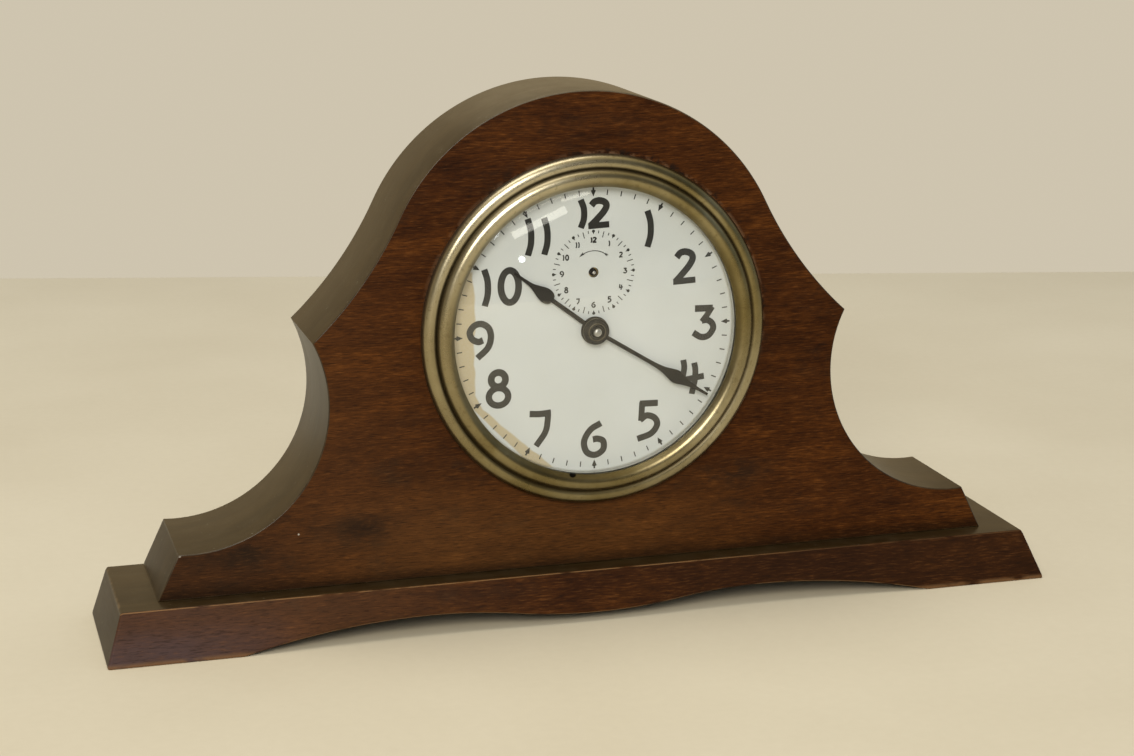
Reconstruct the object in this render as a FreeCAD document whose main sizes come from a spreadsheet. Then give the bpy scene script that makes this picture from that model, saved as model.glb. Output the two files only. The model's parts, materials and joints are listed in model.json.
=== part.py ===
import FreeCAD, Part
import math
import os
import Sketcher

# A mantel alarm clock: an arched wooden case on a plinth, with a wind-up alarm movement in a metal drum.
# The front faces -Y, X runs to the viewer's right and Z up; the plinth stands on the plane Z = 0.
# Depths are counted from the front of the case, positive towards the back.

Vector = FreeCAD.Vector
Placement = FreeCAD.Placement
Rotation = FreeCAD.Rotation

# Driving sizes: millimetres, and degrees where a name ends in angle
SIZES = {
    # plinth
    "base_length": 342.0,
    "base_top_length": 330.0,
    "base_height": 17.0,
    "base_ledge": 8.5,
    "base_front_slope": 7.5,
    "base_foot_length": 46.0,
    "apron_peak": 7.2,
    "apron_drop": 3.2,
    "apron_peak_offset": 60.0,
    # case outline, heights above the plinth
    "case_length": 303.6,
    "case_depth": 45.2,
    "case_foot_top_length": 288.2,
    "case_foot_height": 15.9,
    "cusp_span": 192.4,
    "cusp_height": 86.0,
    "cove_radius": 48.9,
    "arch_radius": 73.0,
    "arch_height": 167.8,
    "arch_end_angle": 26.0,
    # place of the dial on the case
    "dial_offset": 2.8,
    "dial_height": 84.3,
    # screws that hold the plinth to the case
    "base_screw_inner": 60.0,
    "base_screw_outer": 104.0,
    "base_screw_radius": 2.0,
    "base_screw_head_radius": 4.0,
    "base_screw_head_height": 2.6,
    "base_screw_recess": 10.0,
    "base_screw_reach": 16.0,
    # bezel and glass
    "dial_opening": 101.6,
    "bezel_diameter": 123.6,
    "bezel_groove_diameter": 114.0,
    "bezel_groove_rise": 3.2,
    "bezel_lip_rise": 3.9,
    "bezel_lip_slope": 1.1,
    "bezel_lip_thickness": 0.6,
    "bezel_bead_radius": 3.1,
    "bezel_skirt_wall": 0.6,
    "bezel_skirt_depth": 6.0,
    "glass_overlap": 1.7,
    "glass_thickness": 1.3,
    "glass_sag": 6.5,
    # dial
    "dial_recess": 0.9,
    "dial_paper_thickness": 0.15,
    "dial_plate_thickness": 0.6,
    "dial_center_hole": 3.0,
    "dial_alarm_hole": 1.8,
    # movement drum
    "drum_wall": 0.8,
    "drum_flange_radius": 59.0,
    "drum_flange_thickness": 1.0,
    "drum_ledge_width": 3.4,
    "drum_ledge_thickness": 0.8,
    "drum_screw_radius": 0.9,
    "drum_screw_head_radius": 1.8,
    "drum_screw_head_height": 1.4,
    "drum_screw_reach": 6.0,
    # plates, pillars and cover
    "motion_space": 7.35,
    "plate_radius": 44.0,
    "plate_thickness": 1.5,
    "plate_spacing": 20.0,
    "pillar_circle": 40.0,
    "pillar_radius": 2.2,
    "pillar_foot_radius": 1.6,
    "pillar_end_radius": 1.2,
    "nut_radius": 2.6,
    "nut_height": 1.6,
    "post_circle": 36.0,
    "post_radius": 2.0,
    "cover_gap": 11.2,
    "cover_thickness": 0.8,
    "cover_screw_radius": 1.0,
    "cover_screw_head_radius": 2.2,
    "cover_screw_head_height": 1.5,
    "cover_screw_reach": 3.6,
    # fits
    "running_clearance": 0.05,
    "press_clearance": 0.02,
    "end_shake": 0.3,
    "part_clearance": 0.4,
    # arbors
    "center_arbor_radius": 1.7,
    "center_arbor_front_radius": 1.4,
    "center_arbor_rear_radius": 1.5,
    "alarm_arbor_radius": 1.3,
    "alarm_tip_radius": 0.85,
    "alarm_arbor_rear_radius": 1.1,
    "time_winding_radius": 2.4,
    "time_winding_rear_radius": 1.9,
    "alarm_winding_radius": 1.9,
    "alarm_winding_rear_radius": 1.6,
    "winding_pivot_radius": 1.1,
    "train_arbor_radius": 0.7,
    "train_pivot_radius": 0.45,
    "knob_stand_off": 0.7,
    "knob_height": 6.0,
    "set_knob_radius": 5.2,
    "alarm_knob_radius": 4.5,
    # motion work
    "alarm_arbor_height": 20.3,
    "minute_stud_angle": -56.25,
    "minute_stud_radius": 0.9,
    "minute_stud_head_radius": 1.45,
    "motion_wheel_thickness": 1.0,
    "motion_front_gap": 1.0,
    "motion_plane_gap": 1.2,
    "cannon_wall": 0.55,
    "hour_pipe_wall": 0.6,
    "alarm_cam_radius": 4.2,
    # hands
    "hand_thickness": 0.4,
    "hour_hand_depth": -0.6,
    "minute_hand_depth": -2.0,
    "minute_hand_length": 46.0,
    "minute_hand_bulge": 31.5,
    "minute_hand_width": 4.8,
    "minute_hand_leaf": 7.0,
    "hour_hand_length": 34.8,
    "hour_hand_bulge": 20.8,
    "hour_hand_width": 4.7,
    "hour_hand_leaf": 6.4,
    "hand_stem_width": 1.4,
    "hand_point_width": 1.3,
    "hand_tip_width": 0.7,
    "hand_boss_radius": 4.3,
    "hand_nut_radius": 4.7,
    "hand_nut_height": 1.6,
    "hand_pin_reach": 0.7,
    # going train: wheel planes behind the front plate, then the steps from arbor to arbor
    "great_wheel_depth": 9.0,
    "train_plane_step": 4.0,
    "escape_plane_step": 3.0,
    "great_distance": 21.0,
    "great_angle": 210.0,
    "third_distance": 13.5,
    "third_angle": 130.0,
    "fourth_distance": 9.8,
    "fourth_angle": 150.0,
    "escape_distance": 8.64,
    "escape_angle": 40.0,
    "escape_wheel_radius": 5.5,
    "escape_arbor_radius": 0.55,
    "pallet_distance": 8.0,
    "balance_distance": 9.3,
    "balance_angle": 23.5,
    "balance_radius": 8.0,
    "balance_rim_width": 1.0,
    "balance_rim_height": 1.6,
    "balance_hub_radius": 2.2,
    "balance_staff_radius": 0.9,
    "balance_staff_cone": 1.2,
    "balance_tip_gap": 1.0,
    "balance_screw_radius": 1.6,
    "balance_screw_stand": 1.0,
    "wheel_thickness": 1.0,
    "great_wheel_thickness": 1.2,
    "ratchet_radius": 7.0,
    "ratchet_thickness": 1.2,
    # alarm train: wheel planes behind the front plate, then the steps from arbor to arbor
    "alarm_great_depth": 4.0,
    "alarm_escape_depth": 14.0,
    "alarm_winding_distance": 22.6,
    "alarm_winding_angle": -35.0,
    "alarm_escape_distance": 13.475,
    "alarm_escape_angle": 60.0,
    "alarm_escape_radius": 6.5,
    "hammer_distance": 9.9,
    "hammer_angle": 52.4,
    "hammer_head_radius": 2.6,
    "hammer_gap": 0.9,
    "hammer_rod_gap": 3.0,
    "alarm_ratchet_radius": 5.0,
    # springs
    "time_spring_pitch": 2.9,
    "time_spring_strip": 0.45,
    "alarm_spring_pitch": 2.0,
    "alarm_spring_strip": 0.4,
    "alarm_spring_width": 5.5,
    "hairspring_pitch": 0.9,
    "hairspring_strip": 0.2,
    # keys, stop button and regulator
    "key_hub_radius": 3.2,
    "key_hub_length": 8.8,
    "key_wing_length": 20.0,
    "key_wing_height": 9.0,
    "key_wing_thickness": 1.6,
    "stop_button_across": 20.0,
    "stop_button_up": 22.0,
    "stop_pin_radius": 1.2,
    "stop_button_radius": 3.4,
    "lever_width": 1.6,
    "regulator_reach": 9.0,
    "regulator_ring_width": 1.9,
    "regulator_swing_angle": 25.0,
}

# Tooth counts
HOUR_TEETH = 32
CANNON_TEETH = 10
MINUTE_TEETH = 30
MINUTE_PINION_TEETH = 8
GREAT_TEETH = 48
CENTER_PINION_TEETH = 8
CENTER_TEETH = 48
THIRD_PINION_TEETH = 8
THIRD_TEETH = 42
FOURTH_PINION_TEETH = 7
FOURTH_TEETH = 42
ESCAPE_PINION_TEETH = 6
ESCAPE_TEETH = 15
ALARM_GREAT_TEETH = 42
ALARM_PINION_TEETH = 7
ALARM_ESCAPE_TEETH = 15
RATCHET_TEETH = 16
ALARM_RATCHET_TEETH = 12

# Shape of a tooth, in modules along the radius and in tooth pitches along the edge
ADDENDUM = 0.8
DEDENDUM = 1.25
ROOT_HALF_SHARE = 0.27
TIP_HALF_SHARE = 0.08
SAW_STEEP_SHARE = 0.12

# Depth of saw teeth in wheel radii, and how far a pivot reaches through its plate
ESCAPE_TOOTH_SHARE = 0.25
RATCHET_TOOTH_SHARE = 0.2
PIVOT_SHARE = 0.8

# Shape of an anchor, in radii of the wheel below it
ANCHOR_SPAN = 0.88
ANCHOR_FOOT = 0.7
ANCHOR_TOP = 0.2
ANCHOR_THICKNESS = 0.167

# Time shown by the hands, and turns of the wound springs
SHOWN_HOUR = 10.0
SHOWN_MINUTE = 20.3
SPRING_HALF_TURNS = 8
DEGREES_PER_MINUTE = 6.0
DEGREES_PER_HOUR = 30.0

# Places of the repeated pieces, in degrees anticlockwise from three o'clock
PILLAR_ANGLES = (55.0, 160.0, 265.0, 340.0)
POST_ANGLES = (125.0, 215.0, 325.0)
DRUM_SCREW_ANGLES = (30.0, 150.0, 270.0)
BALANCE_SPOKE_ANGLES = (90.0, 210.0, 330.0)
NUT_SIDES = 6


class Size:
    """A number together with the sheet expression that gives it, so that one formula sets both."""

    def __init__(self, value, text):
        self.value = float(value)
        self.text = text

    def __add__(self, other):
        other = sized(other)
        return Size(self.value + other.value, f"({self.text} + {other.text})")

    def __sub__(self, other):
        other = sized(other)
        return Size(self.value - other.value, f"({self.text} - {other.text})")

    def __mul__(self, other):
        other = sized(other)
        return Size(self.value * other.value, f"({self.text} * {other.text})")

    def __truediv__(self, other):
        other = sized(other)
        return Size(self.value / other.value, f"({self.text} / {other.text})")

    def __radd__(self, other):
        return sized(other) + self

    def __rsub__(self, other):
        return sized(other) - self

    def __rmul__(self, other):
        return sized(other) * self

    def __neg__(self):
        return Size(-self.value, f"(0 - {self.text})")


def sized(number):
    """A plain number as a Size."""
    if isinstance(number, Size):
        return number
    return Size(number, repr(float(number)))


def root(size):
    return Size(math.sqrt(size.value), f"sqrt({size.text})")


def larger(first, second):
    """The larger of two sizes."""
    return Size(max(first.value, second.value), f"max({first.text}; {second.text})")


def sine(angle):
    angle = sized(angle)
    return Size(math.sin(math.radians(angle.value)), f"sin({angle.text} * 1 deg)")


def cosine(angle):
    angle = sized(angle)
    return Size(math.cos(math.radians(angle.value)), f"cos({angle.text} * 1 deg)")


def polar(distance, angle):
    """The point at a distance and an angle, anticlockwise from three o'clock."""
    return distance * cosine(angle), distance * sine(angle)


class Sheet:
    """The document's sheet of driving sizes; each alias reads as a Size."""

    def __init__(self, document, sizes):
        cells = document.addObject("Spreadsheet::Sheet", "sizes")
        for row, (alias, number) in enumerate(sizes.items(), start=1):
            cells.set(f"A{row}", alias)
            cells.set(f"B{row}", str(number))
            cells.setAlias(f"B{row}", alias)
        document.recompute()
        for alias in sizes:
            setattr(self, alias, Size(cells.get(alias), f"sizes.{alias}"))


doc = FreeCAD.newDocument("mantel_alarm_clock")
s = Sheet(doc, SIZES)
NODES = []

# Sketch numbers that FreeCAD gives to the origin and its two axes, and to an element's points
H_AXIS, V_AXIS = range(-1, -3, -1)
ORIGIN = H_AXIS
START, END, CENTER = range(1, 4)
ZERO = sized(0).text


def bind(item, name, size):
    """Set a property and tie it to the sheet."""
    size = sized(size)
    setattr(item, name, size.value)
    item.setExpression(name, size.text)


def node(item):
    """Count a finished piece among the parts that are written out."""
    NODES.append(item)
    return item


def new_sketch(body, role, depth=None):
    """A sketch on one of the body's origin planes; a depth moves an XZ sketch towards the back."""
    sketch = body.newObject("Sketcher::SketchObject", "sketch")
    plane = next(item for item in body.Origin.OriginFeatures if item.Role == role)
    sketch.AttachmentSupport = (plane, [""])
    sketch.MapMode = "FlatFace"
    if depth is not None:
        lift = -sized(depth)
        sketch.AttachmentOffset = Placement(Vector(0, 0, lift.value), Rotation())
        sketch.setExpression("AttachmentOffset.Base.z", lift.text)
    return sketch


def dimension(sketch, constraint, size):
    """Add one dimension to a sketch and tie it to the sheet."""
    index = sketch.addConstraint(constraint)
    name = f"size_{index}"
    sketch.renameConstraint(index, name)
    sketch.setExpression(f"Constraints.{name}", size.text)


def fix_point(sketch, element, end, across, up):
    """Fix a point of a sketch element at its distances from the sketch's origin."""
    for kind, axis, size in (("DistanceX", V_AXIS, sized(across)), ("DistanceY", H_AXIS, sized(up))):
        if size.text == ZERO:
            sketch.addConstraint(Sketcher.Constraint("PointOnObject", element, end, axis))
        else:
            rule = Sketcher.Constraint(kind, ORIGIN, START, element, end, size.value)
            dimension(sketch, rule, size)


def arc_between(first, last, radius):
    """The arc from one corner to the next: anticlockwise for a positive radius, else clockwise."""
    side = math.copysign(1.0, radius)
    middle = (first + last) * 0.5
    chord = last - first
    rise = math.sqrt(radius * radius - chord.Length * chord.Length / 4.0)
    across = Vector(-chord.y, chord.x, 0).normalize()
    center = middle + across * (side * rise)
    begin, finish = (first, last) if side > 0 else (last, first)
    angles = [math.atan2(point.y - center.y, point.x - center.x) for point in (begin, finish)]
    if angles[1] < angles[0]:
        angles[1] += 2.0 * math.pi
    circle = Part.Circle(center, Vector(0, 0, 1), abs(radius))
    return Part.ArcOfCircle(circle, angles[0], angles[1])


def outline(sketch, corners):
    """Draw a closed outline; a corner is (across, up) and, for an arc to the next corner, its radius."""
    corners = [tuple(sized(entry) for entry in corner) for corner in corners]
    points = [Vector(corner[0].value, corner[1].value, 0) for corner in corners]
    ends = []
    for index, corner in enumerate(corners):
        first, last = points[index], points[(index + 1) % len(points)]
        if len(corner) == 2:
            element = sketch.addGeometry(Part.LineSegment(first, last))
            ends.append((element, START, END))
            continue
        element = sketch.addGeometry(arc_between(first, last, corner[2].value))
        turned_left = corner[2].value > 0
        ends.append((element, START, END) if turned_left else (element, END, START))
        radius = corner[2] if turned_left else -corner[2]
        dimension(sketch, Sketcher.Constraint("Radius", element, radius.value), radius)
    for index, (element, start, end) in enumerate(ends):
        following, following_start, _ = ends[(index + 1) % len(ends)]
        sketch.addConstraint(Sketcher.Constraint("Coincident", element, end, following, following_start))
    for (element, start, _), corner in zip(ends, corners):
        fix_point(sketch, element, start, corner[0], corner[1])


def circle(sketch, across, up, radius):
    """Draw a circle of a given centre and radius."""
    across, up, radius = sized(across), sized(up), sized(radius)
    shape = Part.Circle(Vector(across.value, up.value, 0), Vector(0, 0, 1), radius.value)
    element = sketch.addGeometry(shape)
    fix_point(sketch, element, CENTER, across, up)
    dimension(sketch, Sketcher.Constraint("Radius", element, radius.value), radius)


def pad(body, sketch, length, backwards=True):
    """Raise a sketch into a solid; an XZ sketch goes towards the back, others along their normal."""
    feature = body.newObject("PartDesign::Pad", "pad")
    feature.Profile = sketch
    bind(feature, "Length", length)
    feature.Reversed = backwards
    return feature


def pocket(body, sketch, depth=None, against=False):
    """Cut a sketch out of the body, right through or to a depth; an XZ sketch cuts towards the back."""
    feature = body.newObject("PartDesign::Pocket", "pocket")
    feature.Profile = sketch
    feature.Reversed = against
    if depth is None:
        feature.Type = "ThroughAll"
    else:
        bind(feature, "Length", depth)
    return feature


def drill(body, depth, rounds, length=None, against=False):
    """Cut round holes, each (across, up, radius), from a plane at a depth."""
    sketch = new_sketch(body, "XZ_Plane", depth)
    for across, up, radius in rounds:
        circle(sketch, across, up, radius)
    return pocket(body, sketch, length, against)


def turned(label, corners):
    """A piece turned about a front-to-back axis from a half profile of (radius, depth) corners."""
    body = doc.addObject("PartDesign::Body", label)
    sketch = new_sketch(body, "XY_Plane")
    outline(sketch, corners)
    feature = body.newObject("PartDesign::Revolution", "turning")
    feature.Profile = sketch
    feature.ReferenceAxis = (sketch, ["V_Axis"])
    feature.Angle = 360.0
    return body


def stepped(*steps):
    """Half profile of a solid shaft; each step is (radius, first depth, last depth)."""
    corners = [(0, steps[0][1])]
    for radius, first, last in steps:
        corners += [(radius, first), (radius, last)]
    corners.append((0, steps[-1][2]))
    return corners


def tube(inner, outer, first, last):
    """Half profile of a ring or a tube."""
    return [(inner, first), (outer, first), (outer, last), (inner, last)]


def slab(label, corners, first, last):
    """A flat piece of a given front outline between two depths."""
    body = doc.addObject("PartDesign::Body", label)
    sketch = new_sketch(body, "XZ_Plane", first)
    outline(sketch, corners)
    pad(body, sketch, last - first)
    return body


def disc(label, radius, first, last):
    """A round flat piece between two depths."""
    body = doc.addObject("PartDesign::Body", label)
    sketch = new_sketch(body, "XZ_Plane", first)
    circle(sketch, 0, 0, radius)
    pad(body, sketch, last - first)
    return body


def bar(label, start, length, width, angle, first, last):
    """A straight flat bar that leaves the axis at an angle."""
    half = width / 2
    ends = ((start, -half), (length, -half), (length, half), (start, half))
    run, rise = cosine(angle), sine(angle)
    corners = [(along * run - over * rise, along * rise + over * run) for along, over in ends]
    return slab(label, corners, first, last)


def toothed(label, teeth, radii, shares, phase, bore, first, last):
    """A flat wheel with a round bore; each tooth visits the radii at the given shares of its pitch."""
    first, last, bore = sized(first), sized(last), sized(bore)
    pitch = 2.0 * math.pi / teeth
    points = []
    for tooth in range(teeth):
        for radius, share in zip(radii, shares):
            angle = math.radians(phase) + (tooth + share) * pitch
            points.append(Vector(radius * math.cos(angle), first.value, radius * math.sin(angle)))
    face = Part.Face(Part.makePolygon(points + points[:1]))
    hole = Part.makeCircle(bore.value, Vector(0, first.value, 0), Vector(0, 1, 0))
    ring = face.cut(Part.Face(Part.Wire(hole)))
    feature = doc.addObject("Part::Feature", label)
    feature.Shape = ring.extrude(Vector(0, last.value - first.value, 0))
    return feature


def gear(label, teeth, pitch_radius, bore, first, last, tooth_at=0.0):
    """A wheel or pinion with straight-sided teeth; one tooth is centred on the angle tooth_at."""
    module = 2.0 * pitch_radius.value / teeth
    tip = pitch_radius.value + ADDENDUM * module
    foot = pitch_radius.value - DEDENDUM * module
    radii = (foot, tip, tip, foot)
    shares = (-ROOT_HALF_SHARE, -TIP_HALF_SHARE, TIP_HALF_SHARE, ROOT_HALF_SHARE)
    return toothed(label, teeth, radii, shares, tooth_at, bore, first, last)


def saw_wheel(label, teeth, radius, tooth_share, bore, first, last):
    """A wheel with leaning saw teeth, as on a ratchet or an escape wheel."""
    radii = (radius.value, radius.value * (1.0 - tooth_share))
    return toothed(label, teeth, radii, (0.0, SAW_STEEP_SHARE), 0.0, bore, first, last)


def gap_at(teeth, angle):
    """The tooth angle that puts a gap between two teeth at the given angle."""
    return sized(angle).value + 180.0 / teeth


def joined(label, *pieces):
    """Several shapes made as one solid piece."""
    item = doc.addObject("Part::MultiFuse", label)
    item.Shapes = list(pieces)
    return item


def group(label, pieces):
    """Alike pieces that share one node as separate solids."""
    item = doc.addObject("Part::Compound", label)
    item.Links = list(pieces)
    return node(item)


def place(item, across, depth, up):
    """Put a piece at its place in the clock and tie the place to the sheet."""
    for axis, size in zip("xyz", (sized(across), sized(depth), sized(up))):
        setattr(item.Placement.Base, axis, size.value)
        item.setExpression(f"Placement.Base.{axis}", size.text)
    return item


def at_dial(item, across=0, up=0):
    """Put a piece on a front-to-back axis that is given from the dial's centre."""
    return place(item, dial_x + across, case_front, dial_z + up)


def spiral(label, inner, pitch, strip, first, last):
    """A wound flat spring: half circles about two centres, each half a pitch wider than the one before."""
    first, last = sized(first), sized(last)

    def edge(radius):
        arcs = []
        for turn in range(SPRING_HALF_TURNS):
            reach = radius + turn * pitch.value / 2.0
            center = Vector(pitch.value / 2.0 * (turn % 2), first.value, 0)
            side = 1.0 if turn % 2 == 0 else -1.0
            ends = [center + Vector(side * reach, 0, 0), center - Vector(side * reach, 0, 0)]
            arcs.append(Part.Arc(ends[0], center + Vector(0, 0, side * reach), ends[1]).toShape())
        return arcs

    near = edge(inner.value)
    far = edge(inner.value + strip.value)
    caps = []
    for index, end in ((0, 0), (-1, 1)):
        caps.append(Part.makeLine(near[index].Vertexes[end].Point, far[index].Vertexes[end].Point))
    wire = Part.Wire(Part.__sortEdges__(near + far + caps))
    feature = doc.addObject("Part::Feature", label)
    feature.Shape = Part.Face(wire).extrude(Vector(0, last.value - first.value, 0))
    return feature


# Depths of the stack, front to back
dial_face = s.dial_recess
paper_back = dial_face + s.dial_paper_thickness
dial_back = paper_back + s.dial_plate_thickness
front_plate = dial_back + s.motion_space
front_plate_back = front_plate + s.plate_thickness
back_plate = front_plate_back + s.plate_spacing
back_plate_rear = back_plate + s.plate_thickness
cover = back_plate_rear + s.cover_gap
cover_rear = cover + s.cover_thickness
flange_rear = s.case_depth + s.drum_flange_thickness
drum_rear = larger(flange_rear, cover_rear)
knob_front = drum_rear + s.knob_stand_off
knob_rear = knob_front + s.knob_height
key_front = knob_front
key_hub_rear = key_front + s.key_hub_length
key_rear = key_hub_rear + s.key_wing_height

glass_front = s.bezel_lip_thickness - s.bezel_lip_rise
glass_back = glass_front + s.glass_thickness
hour_hand_back = s.hour_hand_depth + s.hand_thickness
nut_front = s.minute_hand_depth - s.hand_nut_height

# Inner faces between the plates
shoulder_front = front_plate_back + s.end_shake
shoulder_back = back_plate - s.end_shake

# Wheel planes: the motion work behind the dial, then the two trains between the plates
hour_first = dial_back + s.motion_front_gap
hour_last = hour_first + s.motion_wheel_thickness
minute_first = hour_last + s.motion_plane_gap
minute_last = minute_first + s.motion_wheel_thickness
cannon_first = minute_first - s.end_shake
cannon_last = minute_last + s.end_shake
great_first = front_plate + s.great_wheel_depth
great_last = great_first + s.great_wheel_thickness
center_first = great_first + s.train_plane_step
center_last = center_first + s.wheel_thickness
third_first = center_first + s.train_plane_step
fourth_first = great_first - s.train_plane_step
escape_first = great_first + s.escape_plane_step
escape_last = escape_first + s.wheel_thickness
balance_first = escape_first + s.escape_plane_step
balance_last = balance_first + s.balance_rim_height
hairspring_first = balance_first + s.escape_plane_step
alarm_great_first = front_plate + s.alarm_great_depth
alarm_great_last = alarm_great_first + s.great_wheel_thickness
alarm_escape_first = front_plate + s.alarm_escape_depth
alarm_escape_last = alarm_escape_first + s.wheel_thickness

# The whole clock is centred front to back about Y = 0
base_overhang = s.base_ledge + s.base_front_slope
case_front = (base_overhang - key_rear) / 2
dial_x = s.dial_offset
dial_z = s.base_height + s.dial_height

# Radii round the dial
opening = s.dial_opening / 2
glass_radius = opening + s.glass_overlap
drum_inner = glass_radius + s.part_clearance
drum_outer = drum_inner + s.drum_wall
skirt_inner = drum_outer + s.running_clearance
skirt_outer = skirt_inner + s.bezel_skirt_wall
bore_radius = skirt_outer + s.part_clearance
drum_screw_circle = (s.drum_flange_radius + bore_radius) / 2

# Radii of the pipes and tabs that run in other pieces
cannon_outer = s.center_arbor_front_radius + s.press_clearance + s.cannon_wall
hour_pipe_inner = cannon_outer + s.running_clearance
hour_pipe_outer = hour_pipe_inner + s.hour_pipe_wall
regulator_tab = s.lever_width / 2

# Places of the screws under the plinth, left to right
base_screw_places = (-s.base_screw_outer, -s.base_screw_inner, s.base_screw_inner, s.base_screw_outer)

# Centres of the arbors, from the dial's centre
great_x, great_z = polar(s.great_distance, s.great_angle)
third_x, third_z = polar(s.third_distance, s.third_angle)
fourth_step = polar(s.fourth_distance, s.fourth_angle)
fourth_x, fourth_z = third_x + fourth_step[0], third_z + fourth_step[1]
escape_step = polar(s.escape_distance, s.escape_angle)
escape_x, escape_z = fourth_x + escape_step[0], fourth_z + escape_step[1]
pallet_x, pallet_z = escape_x, escape_z + s.pallet_distance
balance_step = polar(s.balance_distance, s.balance_angle)
balance_x, balance_z = pallet_x + balance_step[0], pallet_z + balance_step[1]
stud_distance = s.alarm_arbor_height / HOUR_TEETH * (CANNON_TEETH + MINUTE_TEETH) / 2
stud_x, stud_z = polar(stud_distance, s.minute_stud_angle)
alarm_wind_x, alarm_wind_z = polar(s.alarm_winding_distance, s.alarm_winding_angle)
alarm_escape_step = polar(s.alarm_escape_distance, s.alarm_escape_angle)
alarm_escape_x = alarm_wind_x + alarm_escape_step[0]
alarm_escape_z = alarm_wind_z + alarm_escape_step[1]
hammer_x, hammer_z = alarm_escape_x, alarm_escape_z + s.hammer_distance


def base_plinth():
    """Plinth with sloping front and ends; a serpentine apron is cut through below."""
    body = doc.addObject("PartDesign::Body", "base_plinth")
    depth = base_overhang + s.case_depth
    bottom = new_sketch(body, "XY_Plane")
    half = s.base_length / 2
    outline(bottom, [(-half, 0), (half, 0), (half, depth), (-half, depth)])
    top = new_sketch(body, "XY_Plane", -s.base_height)
    half_top = s.base_top_length / 2
    setback = s.base_front_slope
    outline(top, [(-half_top, setback), (half_top, setback), (half_top, depth), (-half_top, depth)])
    loft = body.newObject("PartDesign::AdditiveLoft", "loft")
    loft.Profile = bottom
    loft.Sections = [top]
    loft.Ruled = True
    doc.recompute()

    foot = half - s.base_foot_length
    peak, drop, crest = s.apron_peak, s.apron_drop, s.apron_peak_offset
    outer_run = foot - crest
    outer_bend = (outer_run * outer_run + peak * peak) / (2 * peak)
    middle = crest / 2
    fall = (peak - drop) / 2
    inner_bend = (middle * middle + fall * fall) / (2 * fall)
    apron = new_sketch(body, "XZ_Plane")
    outline(apron, [
        (foot, 0, outer_bend),
        (crest, peak, inner_bend),
        (middle, peak - fall, -inner_bend),
        (0, drop, -inner_bend),
        (-middle, peak - fall, inner_bend),
        (-crest, peak, outer_bend),
        (-foot, 0),
    ])
    pocket(body, apron)
    across = base_overhang + s.case_depth / 2
    for radius, length in ((s.base_screw_radius, None), (s.base_screw_head_radius, s.base_screw_recess)):
        holes = new_sketch(body, "XY_Plane")
        for reach in base_screw_places:
            circle(holes, reach, across, radius + s.running_clearance)
        pocket(body, holes, length, against=True)
    return node(place(body, 0, case_front - base_overhang, 0))


def base_screws():
    """Wood screws that come up through the plinth into the case."""
    seat = s.base_screw_recess
    top = s.base_height + s.base_screw_reach
    screws = []
    for index, reach in enumerate(base_screw_places, start=1):
        body = doc.addObject("PartDesign::Body", f"base_screw_{index}")
        sketch = new_sketch(body, "XZ_Plane")
        head, shank = s.base_screw_head_radius, s.base_screw_radius
        low = seat - s.base_screw_head_height
        tip = top - shank
        outline(sketch, [(0, low), (head, low), (head, seat), (shank, seat), (shank, tip), (0, top)])
        turning = body.newObject("PartDesign::Revolution", "turning")
        turning.Profile = sketch
        turning.ReferenceAxis = (sketch, ["V_Axis"])
        turning.Angle = 360.0
        screws.append(place(body, reach, case_front + s.case_depth / 2, 0))
    return group("base_screws", screws)


def case_body():
    """Arched wooden case: slanted feet, round coves, pointed cusps and a concave flank below the arch."""
    body = doc.addObject("PartDesign::Body", "case_body")
    sketch = new_sketch(body, "XZ_Plane")
    half, half_top = s.case_length / 2, s.case_foot_top_length / 2
    cusp, cusp_up = s.cusp_span / 2, s.cusp_height
    arch_up = s.arch_height - s.arch_radius
    lean, climb = cosine(s.arch_end_angle), sine(s.arch_end_angle)
    shoulder, shoulder_up = s.arch_radius * lean, arch_up + s.arch_radius * climb
    run, rise = shoulder - cusp, shoulder_up - cusp_up
    flank = (run * run + rise * rise) / (-2 * (run * lean + rise * climb))
    outline(sketch, [
        (-half, 0),
        (half, 0),
        (half_top, s.case_foot_height, -s.cove_radius),
        (cusp, cusp_up, -flank),
        (shoulder, shoulder_up, s.arch_radius),
        (-shoulder, shoulder_up, -flank),
        (-cusp, cusp_up, -s.cove_radius),
        (-half_top, s.case_foot_height),
    ])
    pad(body, sketch, s.case_depth)
    drill(body, 0, [(dial_x, s.dial_height, bore_radius)])
    pilots = []
    for angle in DRUM_SCREW_ANGLES:
        across, up = polar(drum_screw_circle, angle)
        pilots.append((dial_x + across, s.dial_height + up, s.drum_screw_radius + s.running_clearance))
    drill(body, s.case_depth, pilots, s.drum_screw_reach + s.end_shake, against=True)
    holes = new_sketch(body, "XY_Plane")
    for reach in base_screw_places:
        circle(holes, reach, s.case_depth / 2, s.base_screw_radius + s.running_clearance)
    pocket(body, holes, s.base_screw_reach + s.end_shake, against=True)
    return node(place(body, 0, case_front, s.base_height))


def bezel():
    """Rolled metal bezel: a sloping inner lip, two round beads with a groove between, and a skirt behind."""
    lip = -s.bezel_lip_rise
    lip_back = lip + s.bezel_lip_thickness
    bead = s.bezel_bead_radius
    groove = s.bezel_groove_diameter / 2
    return node(at_dial(turned("bezel", [
        (opening, lip_back),
        (opening, lip),
        (opening + s.bezel_lip_slope, lip - s.bezel_lip_slope, bead),
        (groove, -s.bezel_groove_rise, bead),
        (s.bezel_diameter / 2, 0),
        (skirt_outer, 0),
        (skirt_outer, s.bezel_skirt_depth),
        (skirt_inner, s.bezel_skirt_depth),
        (skirt_inner, glass_back),
        (glass_radius + s.running_clearance, glass_back),
        (glass_radius + s.running_clearance, lip_back),
    ])))


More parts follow.
